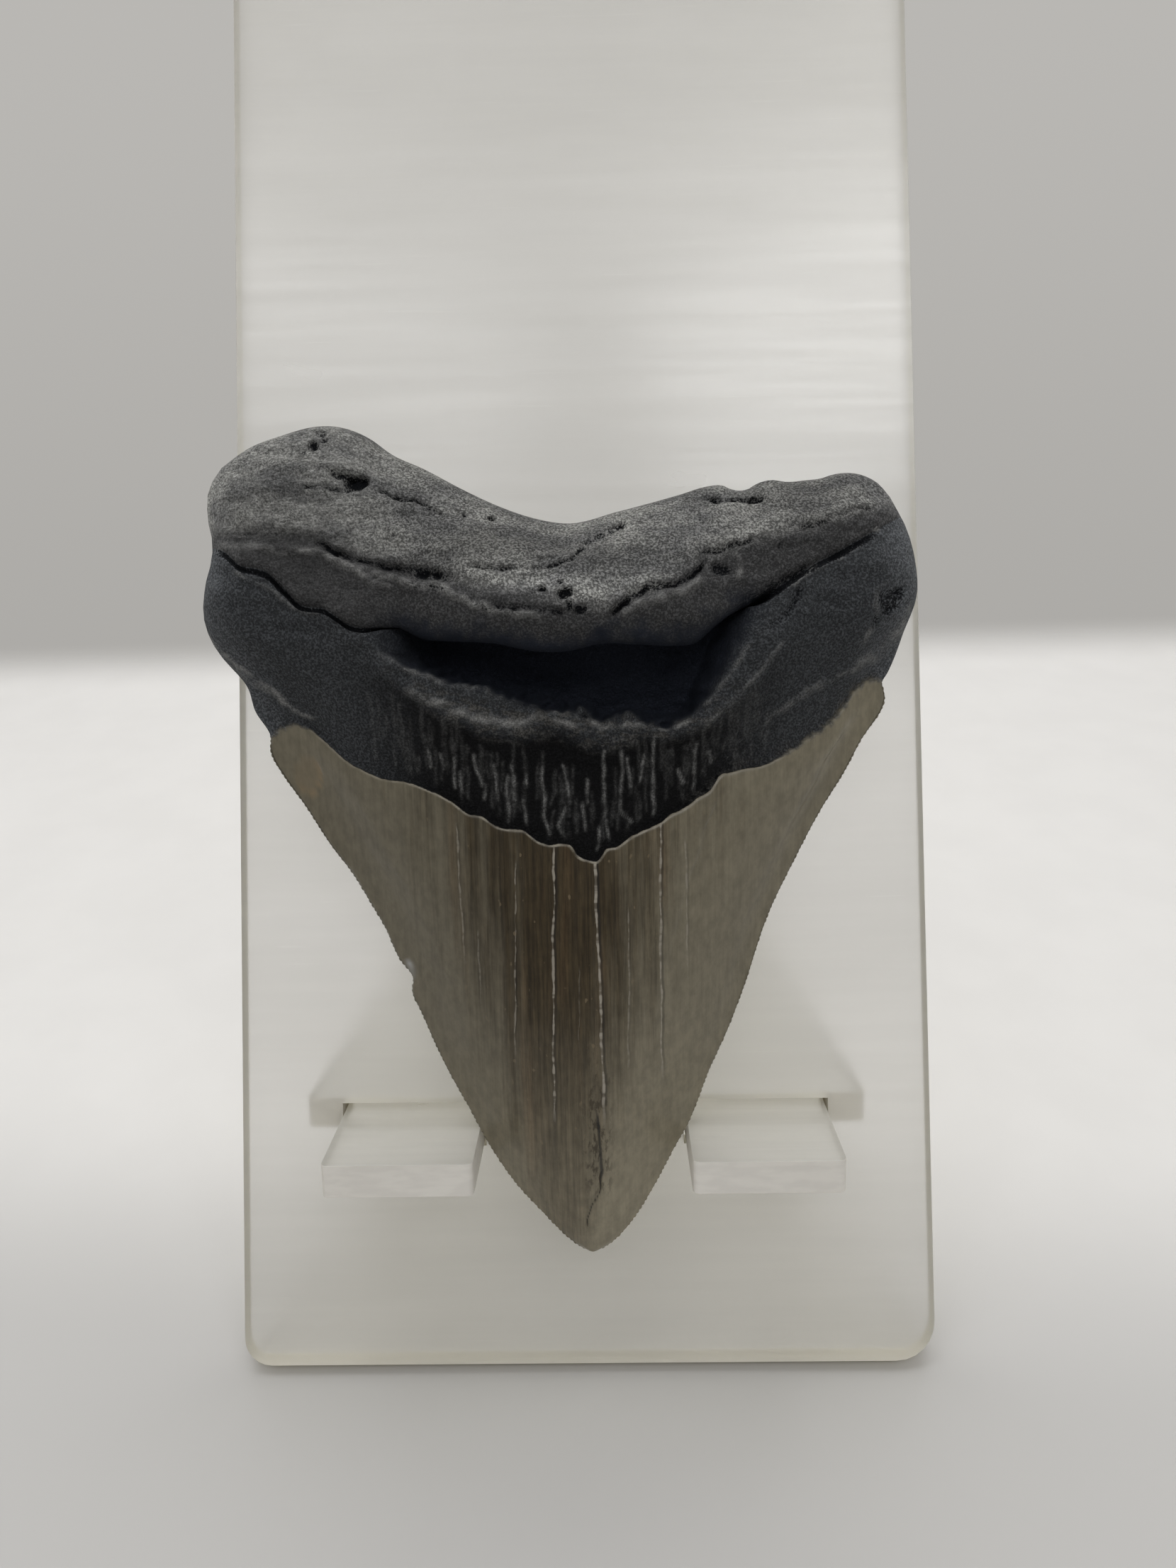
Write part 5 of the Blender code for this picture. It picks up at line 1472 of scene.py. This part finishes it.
def merged_copy(node):
    """A measured sheet as one closed mesh, with its flat sides in as few faces as they need."""
    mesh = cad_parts[node].data.copy()
    mesh.materials.clear()
    work = bmesh.new()
    work.from_mesh(mesh)
    bmesh.ops.remove_doubles(work, verts=work.verts, dist=SAME_POINT * MM)
    bmesh.ops.dissolve_limit(work, angle_limit=math.radians(1), verts=work.verts, edges=work.edges)
    bmesh.ops.recalc_face_normals(work, faces=work.faces)
    work.to_mesh(mesh)
    work.free()
    return mesh


def merge_slivers(mesh):
    """Merge away the slivers that a bevel leaves where two edges meet."""
    work = bmesh.new()
    work.from_mesh(mesh)
    bmesh.ops.remove_doubles(work, verts=work.verts, dist=SLIVER * MM)
    bmesh.ops.dissolve_degenerate(work, edges=work.edges, dist=SLIVER * MM)
    work.to_mesh(mesh)
    work.free()


def flatten(mesh, side):
    """Put a big side in one exact plane and shade it flat, so that nothing ripples in its shine."""
    flat = [face for face in mesh.polygons if face.normal.dot(side) > FACES_SQUARE]
    corners = {index for face in flat for index in face.vertices}
    level = sum(mesh.vertices[index].co.dot(side) for index in corners) / len(corners)
    for index in corners:
        mesh.vertices[index].co += side * (level - mesh.vertices[index].co.dot(side))
    for face in flat:
        face.use_smooth = False


print("points closer than", SAME_POINT, "mm are merged")

# %% Eased sheets
EASED_EDGE = 0.35
EASED_FROM = 30  # degrees: only sharper edges than this are eased
CREASED_FROM = 20  # degrees: and sharper ones than this are shaded as creases


def eased_sheet(node, name, facing, acrylic, edge):
    """A measured sheet with its sharp edges eased. facing is what its two big sides face."""
    sheet = bpy.data.objects.new(name, merged_copy(node))
    bpy.context.scene.collection.objects.link(sheet)
    bevel = sheet.modifiers.new("eased edges", "BEVEL")
    bevel.width = EASED_EDGE * MM
    bevel.segments = 2
    bevel.limit_method = "ANGLE"
    bevel.angle_limit = math.radians(EASED_FROM)
    graph = bpy.context.evaluated_depsgraph_get()
    made = bpy.data.meshes.new_from_object(sheet.evaluated_get(graph))
    merge_slivers(made)
    made.shade_smooth()
    made.set_sharp_from_angle(angle=math.radians(CREASED_FROM))
    sheet.modifiers.clear()
    sheet.data = made
    made.materials.append(acrylic)
    made.materials.append(edge)
    for face in made.polygons:
        face.material_index = int(abs(face.normal.dot(facing)) < 0.5)
    flatten(made, facing)
    flatten(made, -facing)
    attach(sheet, "root")
    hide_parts(node)
    return sheet


panel_facing = panel_to_world.to_3x3() @ Vector((0, 1, 0))
prop_facing = Matrix.Rotation(PROP_DROOP - PANEL_LEAN, 3, "X") @ Vector((0, 0, 1))
panel = eased_sheet("stand_panel", "clear_panel", panel_facing, panel_acrylic, panel_edge)
prop = eased_sheet("stand_prop", "clear_prop", prop_facing, prop_acrylic, prop_edge)
print("panel faces:", len(panel.data.polygons), "prop faces:", len(prop.data.polygons))

# %% [markdown]
# ## The table, the wall's glow and the lamps
#
# The stand is on a plain white table. Nothing hangs behind it: the background is the light grey of
# the surroundings, so the tooth can be looked at from every side. Five soft lamps do the work. A
# big one stands above and in front. A brighter one on each side of it shows in the panel as a pale
# sheen, with a duller stripe between them. One hangs overhead for the top of the root, and one
# behind throws the tooth's soft shadow forward on the table.

# %% Table top
TABLE_WIDTH, TABLE_FRONT, TABLE_BACK = 3000.0, -900.0, 320.0
TABLE_TOP = -0.05  # a hair below the panel's foot: two faces in the very same place would flicker
half = TABLE_WIDTH / 2
corners = [(-half, TABLE_FRONT), (half, TABLE_FRONT), (half, TABLE_BACK), (-half, TABLE_BACK)]
table_mesh = bpy.data.meshes.new("table")
table_mesh.from_pydata([Vector((*corner, TABLE_TOP)) * MM for corner in corners], [], [(0, 1, 2, 3)])
table = bpy.data.objects.new("table", table_mesh)
bpy.context.scene.collection.objects.link(table)
print("the table is", TABLE_WIDTH, "mm wide and", TABLE_BACK - TABLE_FRONT, "mm deep")

# %% Table paint
# Places on the table are in metres here, measured towards the back from the middle of the stand.
TABLE_WHITES = ((0.745, 0.735, 0.72), (0.765, 0.755, 0.74))
# Painted shadow: the table is painted dimmer in front of the stand, as a broad soft shadow.
SHADOW_WHITE = (0.53, 0.523, 0.512)
SHADOW_ENDS = (-0.066, -0.006)
TABLE_FADE = (0.216, 0.270)


def white_table():
    """White paint with a painted soft shadow that dims it towards the front, and that gives way to the
    background far behind.
    """
    material, tree = new_material("white table")
    spot = put(tree, "ShaderNodeTexCoord").outputs["Object"]
    mottle = stretched_noise(tree, spot, EVENLY, 0.02, 3.0)
    paint = blend(tree, ramp(tree, mottle, 0.3, 0.7), *TABLE_WHITES)
    to_right, towards_back, _ = put(tree, "ShaderNodeSeparateXYZ", {0: spot}).outputs
    slanted = calc(tree, "MULTIPLY_ADD", to_right, 0.08, towards_back)
    paint = blend(tree, ramp(tree, slanted, *SHADOW_ENDS), SHADOW_WHITE, paint)
    surface = put(tree, "ShaderNodeBsdfPrincipled", {"Base Color": paint, "Roughness": 0.6})
    far = calc(tree, "MULTIPLY_ADD", to_right, -0.026, towards_back)
    nothing = tree.nodes.new("ShaderNodeBsdfTransparent")
    faded = {0: ramp(tree, far, *TABLE_FADE), 1: surface.outputs[0], 2: nothing.outputs[0]}
    whole = put(tree, "ShaderNodeMixShader", faded)
    tree.links.new(whole.outputs[0], tree.nodes.new("ShaderNodeOutputMaterial").inputs["Surface"])
    return material


table_mesh.materials.append(white_table())
print("the table fades out", TABLE_FADE[0] / MM, "mm behind the middle of the stand")

# %% Surroundings
WALL_HIGH = (0.487, 0.475, 0.454)
WALL_LOW = (0.415, 0.404, 0.385)
ROOM_SIDE = (0.20, 0.198, 0.195)


def surroundings():
    """A pale wall behind, a little lighter higher up, and a dimmer room on the viewer's side."""
    world = bpy.data.worlds.new("pale grey surroundings")
    world.use_nodes = True
    tree = world.node_tree
    towards = put(tree, "ShaderNodeTexCoord").outputs["Generated"]
    _, back, up = put(tree, "ShaderNodeSeparateXYZ", {0: towards}).outputs
    wall = blend(tree, ramp(tree, up, -0.35, 0.15), WALL_LOW, WALL_HIGH)
    colour = blend(tree, ramp(tree, back, -0.6, 0.3), ROOM_SIDE, wall)
    tree.links.new(colour, tree.nodes["Background"].inputs["Color"])
    return world


bpy.context.scene.world = surroundings()
bpy.context.scene.view_settings.view_transform = "Standard"
print("surroundings are ready")

# %% Lamps
TOOTH_MIDDLE = (0, -40, 110)
TOOTH_LOW = (0, -40, 40)


def softbox(name, place_mm, aim_mm, size_mm, radiance):
    """A big rectangular lamp that faces a point, with its lower edge level.

    radiance is how bright the lamp itself looks.
    """
    lamp = bpy.data.lights.new(name, "AREA")
    lamp.shape = "RECTANGLE"
    lamp.size, lamp.size_y = size_mm[0] * MM, size_mm[1] * MM
    lamp.energy = radiance * math.pi * lamp.size * lamp.size_y
    holder = bpy.data.objects.new(name, lamp)
    holder.location = Vector(place_mm) * MM
    back = (Vector(place_mm) - Vector(aim_mm)).normalized()
    right = Vector((0, 0, 1)).cross(back).normalized()
    holder.rotation_euler = Matrix((right, back.cross(right), back)).transposed().to_euler()
    bpy.context.scene.collection.objects.link(holder)
    return holder


softbox("front softbox", (60, -680, 900), TOOTH_MIDDLE, (1200, 760), 0.7)
softbox("right softbox", (330, -698, 1000), TOOTH_MIDDLE, (560, 240), 3.6)
softbox("left softbox", (-330, -698, 1000), TOOTH_MIDDLE, (520, 200), 2.3)
softbox("top softbox", (-80, 130, 1000), TOOTH_MIDDLE, (900, 420), 2.3)
softbox("back softbox", (0, 420, 700), TOOTH_LOW, (700, 420), 2.2)
